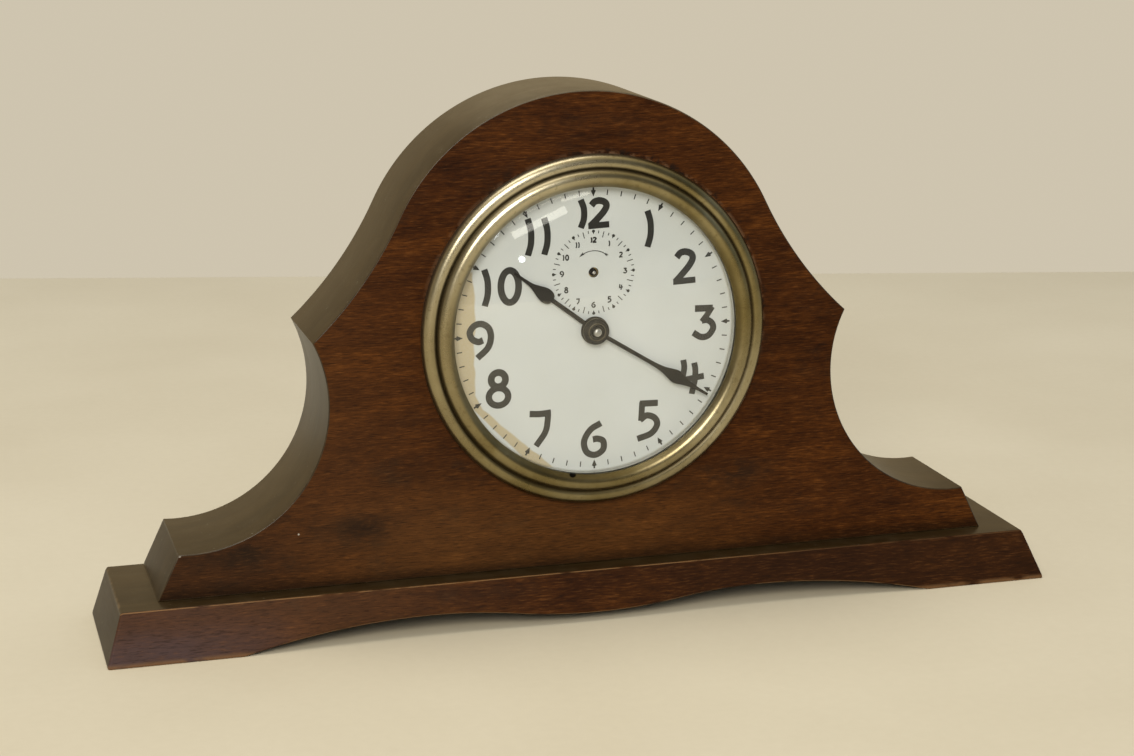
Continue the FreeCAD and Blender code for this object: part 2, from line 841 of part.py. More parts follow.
def crystal():
    """Convex glass with a flat rim behind the bezel's lip."""
    edge = opening - s.running_clearance
    dome = (edge * edge + s.glass_sag * s.glass_sag) / (2 * s.glass_sag)
    return node(at_dial(turned("crystal", [
        (0, glass_front - s.glass_sag, dome),
        (edge, glass_front),
        (glass_radius, glass_front),
        (glass_radius, glass_back),
        (edge, glass_back, -dome),
        (0, glass_back - s.glass_sag),
    ])))


def dial():
    """Glass ring, paper dial and the plate behind it, with holes for the hands and the alarm arbor."""
    ring = turned("crystal_ring", tube(opening, glass_radius, glass_back, dial_face))
    node(at_dial(ring))
    for label, first, last in (("dial_paper", dial_face, paper_back), ("dial_plate", paper_back, dial_back)):
        body = disc(label, glass_radius, first, last)
        holes = [(0, 0, s.dial_center_hole), (0, s.alarm_arbor_height, s.dial_alarm_hole)]
        drill(body, first, holes)
        node(at_dial(body))


def movement_drum():
    """Sheet-metal drum round the movement: a ledge carries the dial, a flange lies on the case's back.

    Where the movement is deeper than the case, the drum's wall goes on behind the flange to the cover.
    """
    ledge_back = dial_back + s.drum_ledge_thickness
    corners = [
        (drum_inner, glass_back),
        (drum_outer, glass_back),
        (drum_outer, s.case_depth),
        (s.drum_flange_radius, s.case_depth),
        (s.drum_flange_radius, flange_rear),
    ]
    if drum_rear.value > flange_rear.value:
        corners += [(drum_outer, flange_rear), (drum_outer, drum_rear)]
    corners += [
        (drum_inner, drum_rear),
        (drum_inner, ledge_back),
        (drum_inner - s.drum_ledge_width, ledge_back),
        (drum_inner - s.drum_ledge_width, dial_back),
        (drum_inner, dial_back),
    ]
    body = turned("movement_drum", corners)
    holes = []
    for angle in DRUM_SCREW_ANGLES:
        across, up = polar(drum_screw_circle, angle)
        holes.append((across, up, s.drum_screw_radius + s.running_clearance))
    drill(body, s.case_depth, holes)
    return node(at_dial(body))


def ring_of(label, corners, circle_radius, angles):
    """Alike turned pieces on a circle about the dial's centre."""
    pieces = []
    for index, angle in enumerate(angles, start=1):
        across, up = polar(circle_radius, angle)
        pieces.append(at_dial(turned(f"{label}_{index}", corners), across, up))
    return group(label, pieces)


def screw(head_radius, head_height, shank_radius, seat, reach):
    """Half profile of a domed screw whose head lies behind its seat and whose shank points forward."""
    crown = head_height / 2
    return [
        (0, seat - reach),
        (shank_radius, seat - reach),
        (shank_radius, seat),
        (head_radius, seat),
        (head_radius, seat + crown),
        (head_radius - crown, seat + head_height),
        (0, seat + head_height),
    ]


def drum_screws():
    profile = screw(s.drum_screw_head_radius, s.drum_screw_head_height, s.drum_screw_radius,
                    flange_rear, s.drum_screw_reach)
    return ring_of("drum_screws", profile, drum_screw_circle, DRUM_SCREW_ANGLES)


def plates():
    """Front and back plates with their pivot holes."""
    clearance = s.running_clearance
    pivot = s.train_pivot_radius + clearance
    train = [(third_x, third_z, pivot), (fourth_x, fourth_z, pivot), (escape_x, escape_z, pivot),
             (pallet_x, pallet_z, pivot), (alarm_escape_x, alarm_escape_z, pivot),
             (balance_x, balance_z, s.balance_screw_radius + clearance)]
    pillars = [polar(s.pillar_circle, angle) for angle in PILLAR_ANGLES]
    ends = [(across, up, s.pillar_end_radius + clearance) for across, up in pillars]
    alarm_up = s.alarm_arbor_height
    front_holes = train + ends + [
        (0, 0, s.center_arbor_radius + clearance),
        (0, alarm_up, s.alarm_arbor_radius + clearance),
        (great_x, great_z, s.winding_pivot_radius + clearance),
        (alarm_wind_x, alarm_wind_z, s.winding_pivot_radius + clearance),
        (hammer_x, hammer_z, pivot),
    ]
    back_holes = train + ends + [
        (0, 0, s.center_arbor_rear_radius + clearance),
        (0, alarm_up, s.alarm_arbor_rear_radius + clearance),
        (great_x, great_z, s.time_winding_rear_radius + clearance),
        (alarm_wind_x, alarm_wind_z, s.alarm_winding_rear_radius + clearance),
        (hammer_x, hammer_z, s.train_arbor_radius + clearance),
        (s.stop_button_across, s.stop_button_up, s.stop_pin_radius + clearance),
    ]
    for label, first, last, holes in (("front_plate", front_plate, front_plate_back, front_holes),
                                      ("back_plate", back_plate, back_plate_rear, back_holes)):
        body = disc(label, s.plate_radius, first, last)
        drill(body, first, holes)
        node(at_dial(body))


def pillars():
    """Pillars between the plates: their front ends stand on the dial plate, their rear ends carry nuts."""
    end = back_plate_rear + s.nut_height
    profile = stepped((s.pillar_foot_radius, dial_back, front_plate),
                      (s.pillar_end_radius, front_plate, front_plate_back),
                      (s.pillar_radius, front_plate_back, back_plate),
                      (s.pillar_end_radius, back_plate, end))
    ring_of("plate_pillars", profile, s.pillar_circle, PILLAR_ANGLES)
    nuts = []
    for index, angle in enumerate(PILLAR_ANGLES, start=1):
        corners = [polar(s.nut_radius, 360.0 / NUT_SIDES * side) for side in range(NUT_SIDES)]
        body = slab(f"pillar_nut_{index}", corners, back_plate_rear, end)
        drill(body, back_plate_rear, [(0, 0, s.pillar_end_radius + s.press_clearance)])
        across, up = polar(s.pillar_circle, angle)
        nuts.append(at_dial(body, across, up))
    group("pillar_nuts", nuts)


def back_cover():
    """Round cover over the movement's back, on three posts, with holes for the arbors and the regulator."""
    bore = s.cover_screw_radius + s.press_clearance
    hole_end = cover - s.cover_screw_reach - s.end_shake
    ring_of("back_posts", [
        (0, back_plate_rear),
        (s.post_radius, back_plate_rear),
        (s.post_radius, cover),
        (bore, cover),
        (bore, hole_end),
        (0, hole_end),
    ], s.post_circle, POST_ANGLES)
    body = disc("back_cover", glass_radius, cover, cover_rear)
    room = s.part_clearance
    holes = [
        (0, 0, s.center_arbor_rear_radius + room),
        (0, s.alarm_arbor_height, s.alarm_arbor_rear_radius + room),
        (great_x, great_z, s.time_winding_rear_radius + room),
        (alarm_wind_x, alarm_wind_z, s.alarm_winding_rear_radius + room),
        (s.stop_button_across, s.stop_button_up, s.stop_pin_radius + room),
    ]
    for angle in POST_ANGLES:
        across, up = polar(s.post_circle, angle)
        holes.append((across, up, bore))
    drill(body, cover, holes)
    slot = new_sketch(body, "XZ_Plane", cover)
    half = s.regulator_reach * sine(s.regulator_swing_angle) + regulator_tab + room
    low = balance_z + s.regulator_reach * cosine(s.regulator_swing_angle) - regulator_tab - room
    high = balance_z + s.regulator_reach + regulator_tab + room
    outline(slot, [(balance_x - half, low), (balance_x + half, low),
                   (balance_x + half, high), (balance_x - half, high)])
    pocket(body, slot)
    node(at_dial(body))
    profile = screw(s.cover_screw_head_radius, s.cover_screw_head_height, s.cover_screw_radius,
                    cover_rear, s.cover_screw_reach + s.cover_thickness)
    ring_of("back_cover_screws", profile, s.post_circle, POST_ANGLES)


def hand_arbor():
    """Centre arbor with the cannon pinion, the minute hand, its nut in front and the set knob behind."""
    tip = nut_front - s.hand_pin_reach
    shoulder = front_plate - s.part_clearance
    node(at_dial(turned("center_arbor", stepped(
        (s.center_arbor_front_radius, tip, shoulder),
        (s.center_arbor_radius, shoulder, shoulder_back),
        (s.center_arbor_rear_radius, shoulder_back, knob_rear - s.knob_stand_off)))))
    bore = s.center_arbor_front_radius + s.press_clearance
    module = s.alarm_arbor_height / HOUR_TEETH
    pipe = turned("cannon_pipe", tube(bore, cannon_outer, s.minute_hand_depth, cannon_first))
    leaves = gear("cannon_leaves", CANNON_TEETH, module * CANNON_TEETH / 2, bore, cannon_first, cannon_last,
                  gap_at(CANNON_TEETH, s.minute_stud_angle))
    node(at_dial(joined("cannon_pinion", pipe, leaves)))
    body = hand("minute_hand", s.minute_hand_length, s.minute_hand_bulge, s.minute_hand_width,
                s.minute_hand_leaf, s.minute_hand_depth, cannon_outer, round_shoulder=False)
    body.Placement.Rotation = Rotation(Vector(0, 1, 0), DEGREES_PER_MINUTE * SHOWN_MINUTE)
    node(at_dial(body))
    step = s.hand_nut_height / 3
    node(at_dial(turned("hand_nut", [
        (bore, nut_front),
        (s.hand_nut_radius / 2, nut_front),
        (s.hand_nut_radius - 2 * step, nut_front + step),
        (s.hand_nut_radius, nut_front + 2 * step),
        (s.hand_nut_radius, s.minute_hand_depth),
        (bore, s.minute_hand_depth),
    ])))
    knob("set_knob", s.set_knob_radius, s.center_arbor_rear_radius, 0)


def hand(label, length, bulge, width, leaf, depth, bore, round_shoulder):
    """A hand that points up: a boss, a stem, a leaf that narrows in an S-curve, and a long fine point.

    The leaf grows from the stem in a round shoulder, or straight from the boss to its widest place.
    """
    stem, half = s.hand_stem_width / 2, width / 2
    point, tip = s.hand_point_width / 2, s.hand_tip_width / 2
    boss = s.hand_boss_radius
    foot = root(boss * boss - stem * stem)
    fall = half - point
    curve = (fall * fall + leaf * leaf) / (4 * fall)
    middle = (half + point) / 2, bulge + leaf / 2
    neck = bulge - root(half * half - stem * stem)
    right = [(stem, neck, half)] if round_shoulder else []
    left = [(-half, bulge, half), (-stem, neck)] if round_shoulder else [(-half, bulge)]
    body = slab(label, [(stem, foot)] + right + [
        (half, bulge, curve),
        (*middle, -curve),
        (point, bulge + leaf),
        (tip, length),
        (-tip, length),
        (-point, bulge + leaf, -curve),
        (-middle[0], middle[1], curve),
    ] + left + [
        (-stem, foot, boss),
        (0, -boss, boss),
    ], depth, depth + s.hand_thickness)
    drill(body, depth, [(0, 0, bore + s.press_clearance)])
    return body


def knob(label, radius, arbor_radius, up):
    """A turned setting knob with a groove round it, at the back of an arbor."""
    groove = (knob_front + knob_rear) / 2
    waist = radius - s.knob_stand_off
    half = s.knob_stand_off / 2
    end = knob_rear - s.knob_stand_off
    bore = arbor_radius + s.press_clearance
    return node(at_dial(turned(label, [
        (bore, knob_front),
        (waist, knob_front),
        (radius, knob_front + s.knob_stand_off),
        (radius, groove - half),
        (waist, groove),
        (radius, groove + half),
        (radius, end),
        (waist, knob_rear),
        (0, knob_rear),
        (0, end),
        (bore, end),
    ]), 0, up))


def motion_work():
    """Minute wheel on its stud, hour wheel with its pipe and hand, and the alarm wheel above."""
    module = s.alarm_arbor_height / HOUR_TEETH
    clearance = s.running_clearance
    hour_pitch = module * HOUR_TEETH / 2
    pipe = turned("hour_pipe", tube(hour_pipe_inner, hour_pipe_outer, s.hour_hand_depth, hour_first))
    ring = gear("hour_ring", HOUR_TEETH, hour_pitch, hour_pipe_inner, hour_first, hour_last,
                s.minute_stud_angle.value)
    node(at_dial(joined("hour_wheel", pipe, ring)))
    body = hand("hour_hand", s.hour_hand_length, s.hour_hand_bulge, s.hour_hand_width,
                s.hour_hand_leaf, s.hour_hand_depth, hour_pipe_outer, round_shoulder=True)
    turn = DEGREES_PER_HOUR * (SHOWN_HOUR + SHOWN_MINUTE / 60.0)
    body.Placement.Rotation = Rotation(Vector(0, 1, 0), turn)
    node(at_dial(body))

    away = s.minute_stud_angle.value + 180.0
    bore = s.minute_stud_radius + clearance
    wheel = gear("minute_ring", MINUTE_TEETH, module * MINUTE_TEETH / 2, bore, minute_first, minute_last,
                 away)
    leaves = gear("minute_leaves", MINUTE_PINION_TEETH, module * MINUTE_PINION_TEETH / 2, bore,
                  hour_first - clearance, minute_first, gap_at(MINUTE_PINION_TEETH, away))
    node(at_dial(joined("minute_wheel", wheel, leaves), stud_x, stud_z))
    head = dial_back + s.running_clearance
    node(at_dial(turned("minute_wheel_stud", stepped(
        (s.minute_stud_head_radius, head, hour_first - s.end_shake),
        (s.minute_stud_radius, hour_first - s.end_shake, front_plate))), stud_x, stud_z))

    bore = s.alarm_arbor_radius + clearance
    facing = mesh_angle(HOUR_TEETH, s.minute_stud_angle.value, 90.0, HOUR_TEETH)
    wheel = gear("alarm_ring", HOUR_TEETH, hour_pitch, bore, hour_first, hour_last, facing)
    sleeve = turned("alarm_sleeve", tube(bore, bore + s.hour_pipe_wall, hour_last, minute_last))
    node(at_dial(joined("alarm_wheel", wheel, sleeve), 0, s.alarm_arbor_height))


def mesh_angle(teeth, tooth_at, toward, mate_teeth):
    """The tooth angle of a mate that lies in a direction, so that its gap meets the nearest tooth there."""
    pitch = 360.0 / teeth
    lead = (tooth_at - toward + pitch / 2.0) % pitch - pitch / 2.0
    return gap_at(mate_teeth, toward + 180.0 - lead * teeth / mate_teeth)


def alarm_setting():
    """Alarm arbor that ends in the dial, its cam behind the alarm wheel and its knob at the back."""
    up = s.alarm_arbor_height
    node(at_dial(turned("alarm_arbor", stepped(
        (s.alarm_tip_radius, hour_hand_back + s.part_clearance, dial_back),
        (s.alarm_arbor_radius, dial_back, shoulder_back),
        (s.alarm_arbor_rear_radius, shoulder_back, knob_rear - s.knob_stand_off))), 0, up))
    first = minute_last + s.end_shake
    cam = disc("alarm_cam", s.alarm_cam_radius, first, front_plate - s.end_shake)
    notch = new_sketch(cam, "XZ_Plane", first)
    half = s.alarm_arbor_radius
    deep = s.alarm_cam_radius
    outline(notch, [(-half, deep / 2), (half, deep / 2), (half, deep * 2), (-half, deep * 2)])
    pocket(cam, notch, s.motion_wheel_thickness)
    drill(cam, first, [(0, 0, s.alarm_arbor_radius + s.press_clearance)])
    node(at_dial(cam, 0, up))
    knob("alarm_set_knob", s.alarm_knob_radius, s.alarm_arbor_rear_radius, up)


def arbor(label, radius, pivot):
    """A train arbor with a thinner pivot at each end."""
    reach = s.plate_thickness * PIVOT_SHARE
    return turned(label, stepped((pivot, front_plate_back - reach, shoulder_front),
                                 (radius, shoulder_front, shoulder_back),
                                 (pivot, shoulder_back, back_plate + reach)))


def train_arbor(name, x, z, radius, teeth, pinion, driver_first, driver_angle):
    """An arbor whose pinion meets a wheel that lies in the direction opposite to the driver's angle."""
    shaft = arbor(f"{name}_shaft", radius, s.train_pivot_radius)
    leaves = gear(f"{name}_leaves", teeth, pinion, s.train_pivot_radius, driver_first - s.part_clearance,
                  driver_first + s.wheel_thickness + s.part_clearance, gap_at(teeth, driver_angle + 180.0))
    return node(at_dial(joined(f"{name}_arbor", shaft, leaves), x, z))


def pitch_radii(distance, wheel_teeth, pinion_teeth):
    """Pitch radii of a wheel and its pinion for a distance between their centres."""
    share = distance / (wheel_teeth + pinion_teeth)
    return share * wheel_teeth, share * pinion_teeth


def winding(side, x, z, radius, rear, wheel_first, wheel, teeth, wheel_ratchet, spring):
    """One spring with its great wheel, click, ratchet, winding arbor and key."""
    clearance = s.running_clearance
    wheel_radius, wheel_tooth = wheel
    wheel_last = wheel_first + s.great_wheel_thickness
    node(at_dial(gear(f"{side}_great_wheel", teeth, wheel_radius, radius + clearance, wheel_first, wheel_last,
                      wheel_tooth), x, z))
    ratchet_radius, ratchet_teeth, behind = wheel_ratchet
    if behind:
        click_first = wheel_last
        ratchet_first = wheel_last + s.end_shake
    else:
        click_first = wheel_first - s.ratchet_thickness
        ratchet_first = wheel_first - s.end_shake - s.ratchet_thickness
    node(at_dial(saw_wheel(f"{side}_ratchet", ratchet_teeth, ratchet_radius, RATCHET_TOOTH_SHARE,
                           radius + s.press_clearance, ratchet_first,
                           ratchet_first + s.ratchet_thickness), x, z))
    nose = ratchet_radius + s.part_clearance
    width = ratchet_radius / 4
    node(at_dial(slab(f"{side}_click", [
        (nose, 0),
        (nose + width, 0),
        (nose + 2 * width, 2 * width, width),
        (nose + width, 3 * width),
    ], click_first, click_first + s.ratchet_thickness), x, z))
    node(at_dial(turned(f"{side}_winding_arbor", stepped(
        (s.winding_pivot_radius, front_plate + s.end_shake, shoulder_front),
        (radius, shoulder_front, shoulder_back),
        (rear, shoulder_back, key_hub_rear - s.key_hub_radius))), x, z))
    pitch, strip, first, last = spring
    node(at_dial(spiral(f"{side}_mainspring", radius + s.part_clearance, pitch, strip, first, last), x, z))
    key(side, rear, x, z)


def key(side, arbor_radius, x, z):
    """A winding key: a hub on the arbor and a flat bow with two round eyes."""
    bore = arbor_radius + s.press_clearance
    bottom = key_hub_rear - s.key_hub_radius
    hub = turned(f"{side}_key_hub", [
        (bore, key_front),
        (s.key_hub_radius, key_front),
        (s.key_hub_radius, key_hub_rear),
        (0, key_hub_rear),
        (0, bottom),
        (bore, bottom),
    ])
    bow = doc.addObject("PartDesign::Body", f"{side}_key_bow")
    sketch = new_sketch(bow, "XY_Plane", s.key_wing_thickness / 2)
    end = s.key_wing_height / 2
    reach = s.key_wing_length / 2 - end
    seat = bottom + s.key_wing_thickness
    middle = key_rear - end
    outline(sketch, [
        (-s.key_hub_radius, seat),
        (s.key_hub_radius, seat),
        (s.key_hub_radius, key_hub_rear),
        (reach, middle - end, end),
        (reach + end, middle, end),
        (reach, key_rear),
        (-reach, key_rear, end),
        (-reach - end, middle, end),
        (-reach, middle - end),
        (-s.key_hub_radius, key_hub_rear),
    ])
    for place_of_eye in (reach, -reach):
        circle(sketch, place_of_eye, middle, end / 2)
    pad(bow, sketch, s.key_wing_thickness, backwards=False)
    return node(at_dial(joined(f"{side}_key", hub, bow), x, z))


def going_train():
    """Great wheel, centre, third, fourth and escape wheels, each with its pinion."""
    clearance = s.running_clearance
    great_radius, center_pinion = pitch_radii(s.great_distance, GREAT_TEETH, CENTER_PINION_TEETH)
    center_radius, third_pinion = pitch_radii(s.third_distance, CENTER_TEETH, THIRD_PINION_TEETH)
    third_radius, fourth_pinion = pitch_radii(s.fourth_distance, THIRD_TEETH, FOURTH_PINION_TEETH)
    fourth_radius, escape_pinion = pitch_radii(s.escape_distance, FOURTH_TEETH, ESCAPE_PINION_TEETH)
    spring = (s.time_spring_pitch, s.time_spring_strip, shoulder_front + s.end_shake,
              great_first - s.part_clearance)
    winding("time", great_x, great_z, s.time_winding_radius, s.time_winding_rear_radius, great_first,
            (great_radius, s.great_angle.value + 180.0), GREAT_TEETH,
            (s.ratchet_radius, RATCHET_TEETH, True), spring)

    bore = s.center_arbor_radius + clearance
    leaves_last = great_last + s.part_clearance
    leaves = gear("center_leaves", CENTER_PINION_TEETH, center_pinion, bore, great_first - s.part_clearance,
                  leaves_last, gap_at(CENTER_PINION_TEETH, s.great_angle))
    collet = turned("center_collet", tube(bore, bore + s.hour_pipe_wall, leaves_last, center_first))
    ring = gear("center_ring", CENTER_TEETH, center_radius, bore, center_first, center_last,
                s.third_angle.value)
    node(at_dial(joined("center_wheel", leaves, collet, ring)))
    edge = bore * 3
    node(at_dial(turned("friction_spring", [
        (bore, center_last + s.part_clearance),
        (edge, center_last),
        (edge, center_last + s.end_shake),
        (bore, center_last + s.part_clearance + s.end_shake),
    ])))

    radius, thin = s.train_arbor_radius, s.escape_arbor_radius
    train_arbor("third", third_x, third_z, radius, THIRD_PINION_TEETH, third_pinion, center_first,
                s.third_angle)
    train_arbor("fourth", fourth_x, fourth_z, radius, FOURTH_PINION_TEETH, fourth_pinion, third_first,
                s.fourth_angle)
    train_arbor("escape", escape_x, escape_z, thin, ESCAPE_PINION_TEETH, escape_pinion, fourth_first,
                s.escape_angle)
    bore = radius + s.press_clearance
    node(at_dial(gear("third_wheel", THIRD_TEETH, third_radius, bore, third_first,
                      third_first + s.wheel_thickness, s.fourth_angle.value), third_x, third_z))
    node(at_dial(gear("fourth_wheel", FOURTH_TEETH, fourth_radius, bore, fourth_first,
                      fourth_first + s.wheel_thickness, s.escape_angle.value), fourth_x, fourth_z))
    node(at_dial(saw_wheel("escape_wheel", ESCAPE_TEETH, s.escape_wheel_radius, ESCAPE_TOOTH_SHARE,
                           thin + s.press_clearance, escape_first, escape_last), escape_x, escape_z))


def anchor(label, wheel_radius, distance, first, last):
    """Pallets of an escapement: a crossbar over the wheel below with a leg down on each side."""
    span = wheel_radius * ANCHOR_SPAN
    thick = wheel_radius * ANCHOR_THICKNESS
    foot = wheel_radius * ANCHOR_FOOT - distance
    top = wheel_radius * ANCHOR_TOP
    return slab(label, [
        (-span - thick, foot),
        (-span, foot),
        (-span + thick, -top),
        (span - thick, -top),
        (span, foot),
        (span + thick, foot),
        (span, top),
        (-span, top),
    ], first, last)


def escapement():
    """Pallet lever, balance with its staff and pivot screws, hairspring, its stud and the regulator."""
    shaft = arbor("pallet_shaft", s.train_arbor_radius, s.train_pivot_radius)
    pallets = anchor("pallets", s.escape_wheel_radius, s.pallet_distance, escape_first, escape_last)
    staff = s.balance_staff_radius
    fork = bar("pallet_fork", 0, s.balance_distance - 3 * staff, s.lever_width, s.balance_angle,
               escape_first, escape_last)
    node(at_dial(joined("pallet_lever", shaft, pallets, fork), pallet_x, pallet_z))

    front_tip = front_plate_back + s.balance_tip_gap
    back_tip = back_plate - s.balance_tip_gap
    cone = s.balance_staff_cone
    node(at_dial(turned("balance_staff", [
        (0, front_tip),
        (staff, front_tip + cone),
        (staff, back_tip - cone),
        (0, back_tip),
    ]), balance_x, balance_z))
    outer = s.balance_screw_radius
    cup = staff + s.running_clearance
    front_rim, back_rim = front_tip + s.part_clearance, back_tip - s.part_clearance
    front_screw = turned("balance_screw_front", [
        (0, front_plate - s.balance_screw_stand),
        (outer, front_plate - s.balance_screw_stand),
        (outer, front_rim),
        (cup, front_rim),
        (0, front_tip - s.end_shake),
    ])
    back_screw = turned("balance_screw_back", [
        (0, back_tip + s.end_shake),
        (cup, back_rim),
        (outer, back_rim),
        (outer, back_plate_rear + s.balance_screw_stand),
        (0, back_plate_rear + s.balance_screw_stand),
    ])
    group("balance_screws", [at_dial(item, balance_x, balance_z) for item in (front_screw, back_screw)])

    rim_inner = s.balance_radius - s.balance_rim_width
    rim = turned("balance_rim", tube(rim_inner, s.balance_radius, balance_first, balance_last))
    hub = turned("balance_hub", tube(staff + s.press_clearance, s.balance_hub_radius, balance_first,
                                     balance_last))
    spokes = []
    for index, angle in enumerate(BALANCE_SPOKE_ANGLES, start=1):
        inner = (staff + s.balance_hub_radius) / 2
        outer_end = rim_inner + s.balance_rim_width / 2
        spokes.append(bar(f"balance_spoke_{index}", inner, outer_end, s.lever_width, angle,
                          balance_first + s.end_shake, balance_last - s.end_shake))
    node(at_dial(joined("balance_wheel", rim, hub, *spokes), balance_x, balance_z))

    spring_inner = staff + s.part_clearance
    node(at_dial(spiral("hairspring", spring_inner, s.hairspring_pitch, s.hairspring_strip, hairspring_first,
                        hairspring_first + s.hairspring_pitch), balance_x, balance_z))
    reach = spring_inner + s.hairspring_pitch * SPRING_HALF_TURNS / 2 + s.hairspring_strip
    stud = s.train_arbor_radius
    node(at_dial(turned("hairspring_stud", stepped((stud, hairspring_first, back_plate))),
                 balance_x + reach + stud, balance_z))

    flat = back_plate_rear + s.cover_thickness
    ring_inner = outer + s.running_clearance
    ring_outer = ring_inner + s.regulator_ring_width
    ring = turned("regulator_ring", tube(ring_inner, ring_outer, back_plate_rear, flat))
    arm = bar("regulator_arm", (ring_inner + ring_outer) / 2, s.regulator_reach + regulator_tab,
              s.lever_width, 90.0, back_plate_rear, flat)
    tab = bar("regulator_tab", s.regulator_reach - regulator_tab, s.regulator_reach + regulator_tab,
              s.lever_width, 90.0, back_plate_rear, knob_front)
    node(at_dial(joined("regulator_lever", ring, arm, tab), balance_x, balance_z))


def alarm_train():
    """Alarm spring and great wheel, the alarm's escape wheel, the hammer and the stop button."""
    wheel_radius, pinion = pitch_radii(s.alarm_escape_distance, ALARM_GREAT_TEETH, ALARM_PINION_TEETH)
    spring_first = alarm_great_last + s.part_clearance
    spring = (s.alarm_spring_pitch, s.alarm_spring_strip, spring_first, spring_first + s.alarm_spring_width)
    winding("alarm", alarm_wind_x, alarm_wind_z, s.alarm_winding_radius, s.alarm_winding_rear_radius,
            alarm_great_first, (wheel_radius, s.alarm_escape_angle.value), ALARM_GREAT_TEETH,
            (s.alarm_ratchet_radius, ALARM_RATCHET_TEETH, False), spring)

    shaft = arbor("alarm_shaft", s.train_arbor_radius, s.train_pivot_radius)
    leaves = gear("alarm_leaves", ALARM_PINION_TEETH, pinion, s.train_pivot_radius,
                  alarm_great_first - s.part_clearance, alarm_great_last + s.part_clearance,
                  gap_at(ALARM_PINION_TEETH, s.alarm_escape_angle + 180.0))
    teeth = saw_wheel("alarm_teeth", ALARM_ESCAPE_TEETH, s.alarm_escape_radius, ESCAPE_TOOTH_SHARE,
                      s.train_pivot_radius, alarm_escape_first, alarm_escape_last)
    node(at_dial(joined("alarm_escape_wheel", shaft, leaves, teeth), alarm_escape_x, alarm_escape_z))

    rod_first = back_plate_rear + s.hammer_rod_gap
    rod_last = rod_first + s.wheel_thickness
    shaft = turned("hammer_shaft", stepped(
        (s.train_pivot_radius, front_plate + s.end_shake, shoulder_front),
        (s.train_arbor_radius, shoulder_front, rod_last)))
    verge = anchor("hammer_verge", s.alarm_escape_radius, s.hammer_distance, alarm_escape_first,
                   alarm_escape_last)
    lean, climb = cosine(s.hammer_angle), sine(s.hammer_angle)
    along = hammer_x * lean + hammer_z * climb
    reach = drum_inner - s.hammer_head_radius - s.hammer_gap
    length = root(along * along - hammer_x * hammer_x - hammer_z * hammer_z + reach * reach) - along
    rod = bar("hammer_rod", 0, length, s.lever_width, s.hammer_angle, rod_first, rod_last)
    head = doc.addObject("PartDesign::Body", "hammer_head")
    sketch = new_sketch(head, "XZ_Plane", rod_first - s.hammer_head_radius / 2)
    circle(sketch, length * lean, length * climb, s.hammer_head_radius)
    pad(head, sketch, s.hammer_head_radius * 2)
    node(at_dial(joined("alarm_hammer", shaft, verge, rod, head), hammer_x, hammer_z))

    pin, button = s.stop_pin_radius, s.stop_button_radius
    seat = knob_front + s.knob_stand_off
    node(at_dial(turned("alarm_stop_button", [
        (0, shoulder_back - s.plate_thickness),
        (pin, shoulder_back - s.plate_thickness),
        (pin, seat),
        (button, seat),
        (button, seat + pin),
        (button - pin / 2, seat + 2 * pin),
        (0, seat + 2 * pin),
    ]), s.stop_button_across, s.stop_button_up))


def check():
    """Stop if an object failed or a piece is not one sound shape."""
    for item in doc.Objects:
        if "Invalid" in item.State or "Error" in item.State:
            raise RuntimeError(f"{item.Label} failed: {item.State}")
    for item in NODES:
        if item.Shape.isNull() or not item.Shape.isValid() or not item.Shape.Solids:
            raise RuntimeError(f"{item.Label} has no sound shape")


base_plinth()
base_screws()
case_body()
bezel()
crystal()
dial()
movement_drum()
drum_screws()
plates()
pillars()
back_cover()
hand_arbor()
motion_work()
alarm_setting()
going_train()
escapement()
alarm_train()
doc.recompute()
check()

os.makedirs("parts", exist_ok=True)
for piece in NODES:
    piece.Shape.exportStep(os.path.join("parts", f"{piece.Label}.step"))
    print(piece.Label, len(piece.Shape.Solids), round(piece.Shape.Volume, 2))
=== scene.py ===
"""The looks of a mantel alarm clock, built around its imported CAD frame.

Sizes are in millimetres, in the CAD's own axes, until a mesh is made: x to the right, y to the back, z up.
"""

import json
import math

import bmesh
import bpy
import numpy as np
from mathutils import Matrix, Quaternion, Vector
from mathutils.geometry import tessellate_polygon


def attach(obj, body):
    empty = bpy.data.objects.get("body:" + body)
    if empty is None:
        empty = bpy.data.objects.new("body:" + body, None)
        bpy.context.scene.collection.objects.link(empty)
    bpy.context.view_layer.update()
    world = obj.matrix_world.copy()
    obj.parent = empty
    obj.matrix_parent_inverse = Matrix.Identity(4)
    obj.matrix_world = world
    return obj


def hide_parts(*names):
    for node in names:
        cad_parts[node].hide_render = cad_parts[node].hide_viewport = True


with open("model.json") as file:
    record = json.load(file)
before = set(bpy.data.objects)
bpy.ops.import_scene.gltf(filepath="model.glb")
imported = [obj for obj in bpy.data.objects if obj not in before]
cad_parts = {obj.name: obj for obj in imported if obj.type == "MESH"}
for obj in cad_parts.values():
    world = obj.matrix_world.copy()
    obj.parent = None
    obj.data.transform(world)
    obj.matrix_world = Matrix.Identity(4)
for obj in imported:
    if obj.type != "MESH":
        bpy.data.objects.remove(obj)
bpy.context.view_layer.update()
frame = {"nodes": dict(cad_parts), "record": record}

MM = 0.001

# places in the case
CASE_FRONT = -24.35
CASE_BACK = 20.85
DIAL_X = 2.8
DIAL_Z = 101.3

# base
BASE_HALF = 171.0
BASE_HEIGHT = 17.0
BASE_FRONT = -40.35
BASE_FRONT_SLOPE = 7.5
BASE_END_SLOPE = 6.0
BASE_END_REACH = 31.0
BASE_EDGE = 0.9
BASE_END_STEPS = 5
BASE_END_WEAR = 0.8
BASE_BACK_WEAR = 0.4
BASE_CORNER_STEPS = 6
BASE_RUN_STEPS = 420
BASE_RUN_GAP = 0.2
APRON_FOOT = 125.0
APRON_CREST = 60.0
APRON_PEAK = 7.2
APRON_DROP = 3.2

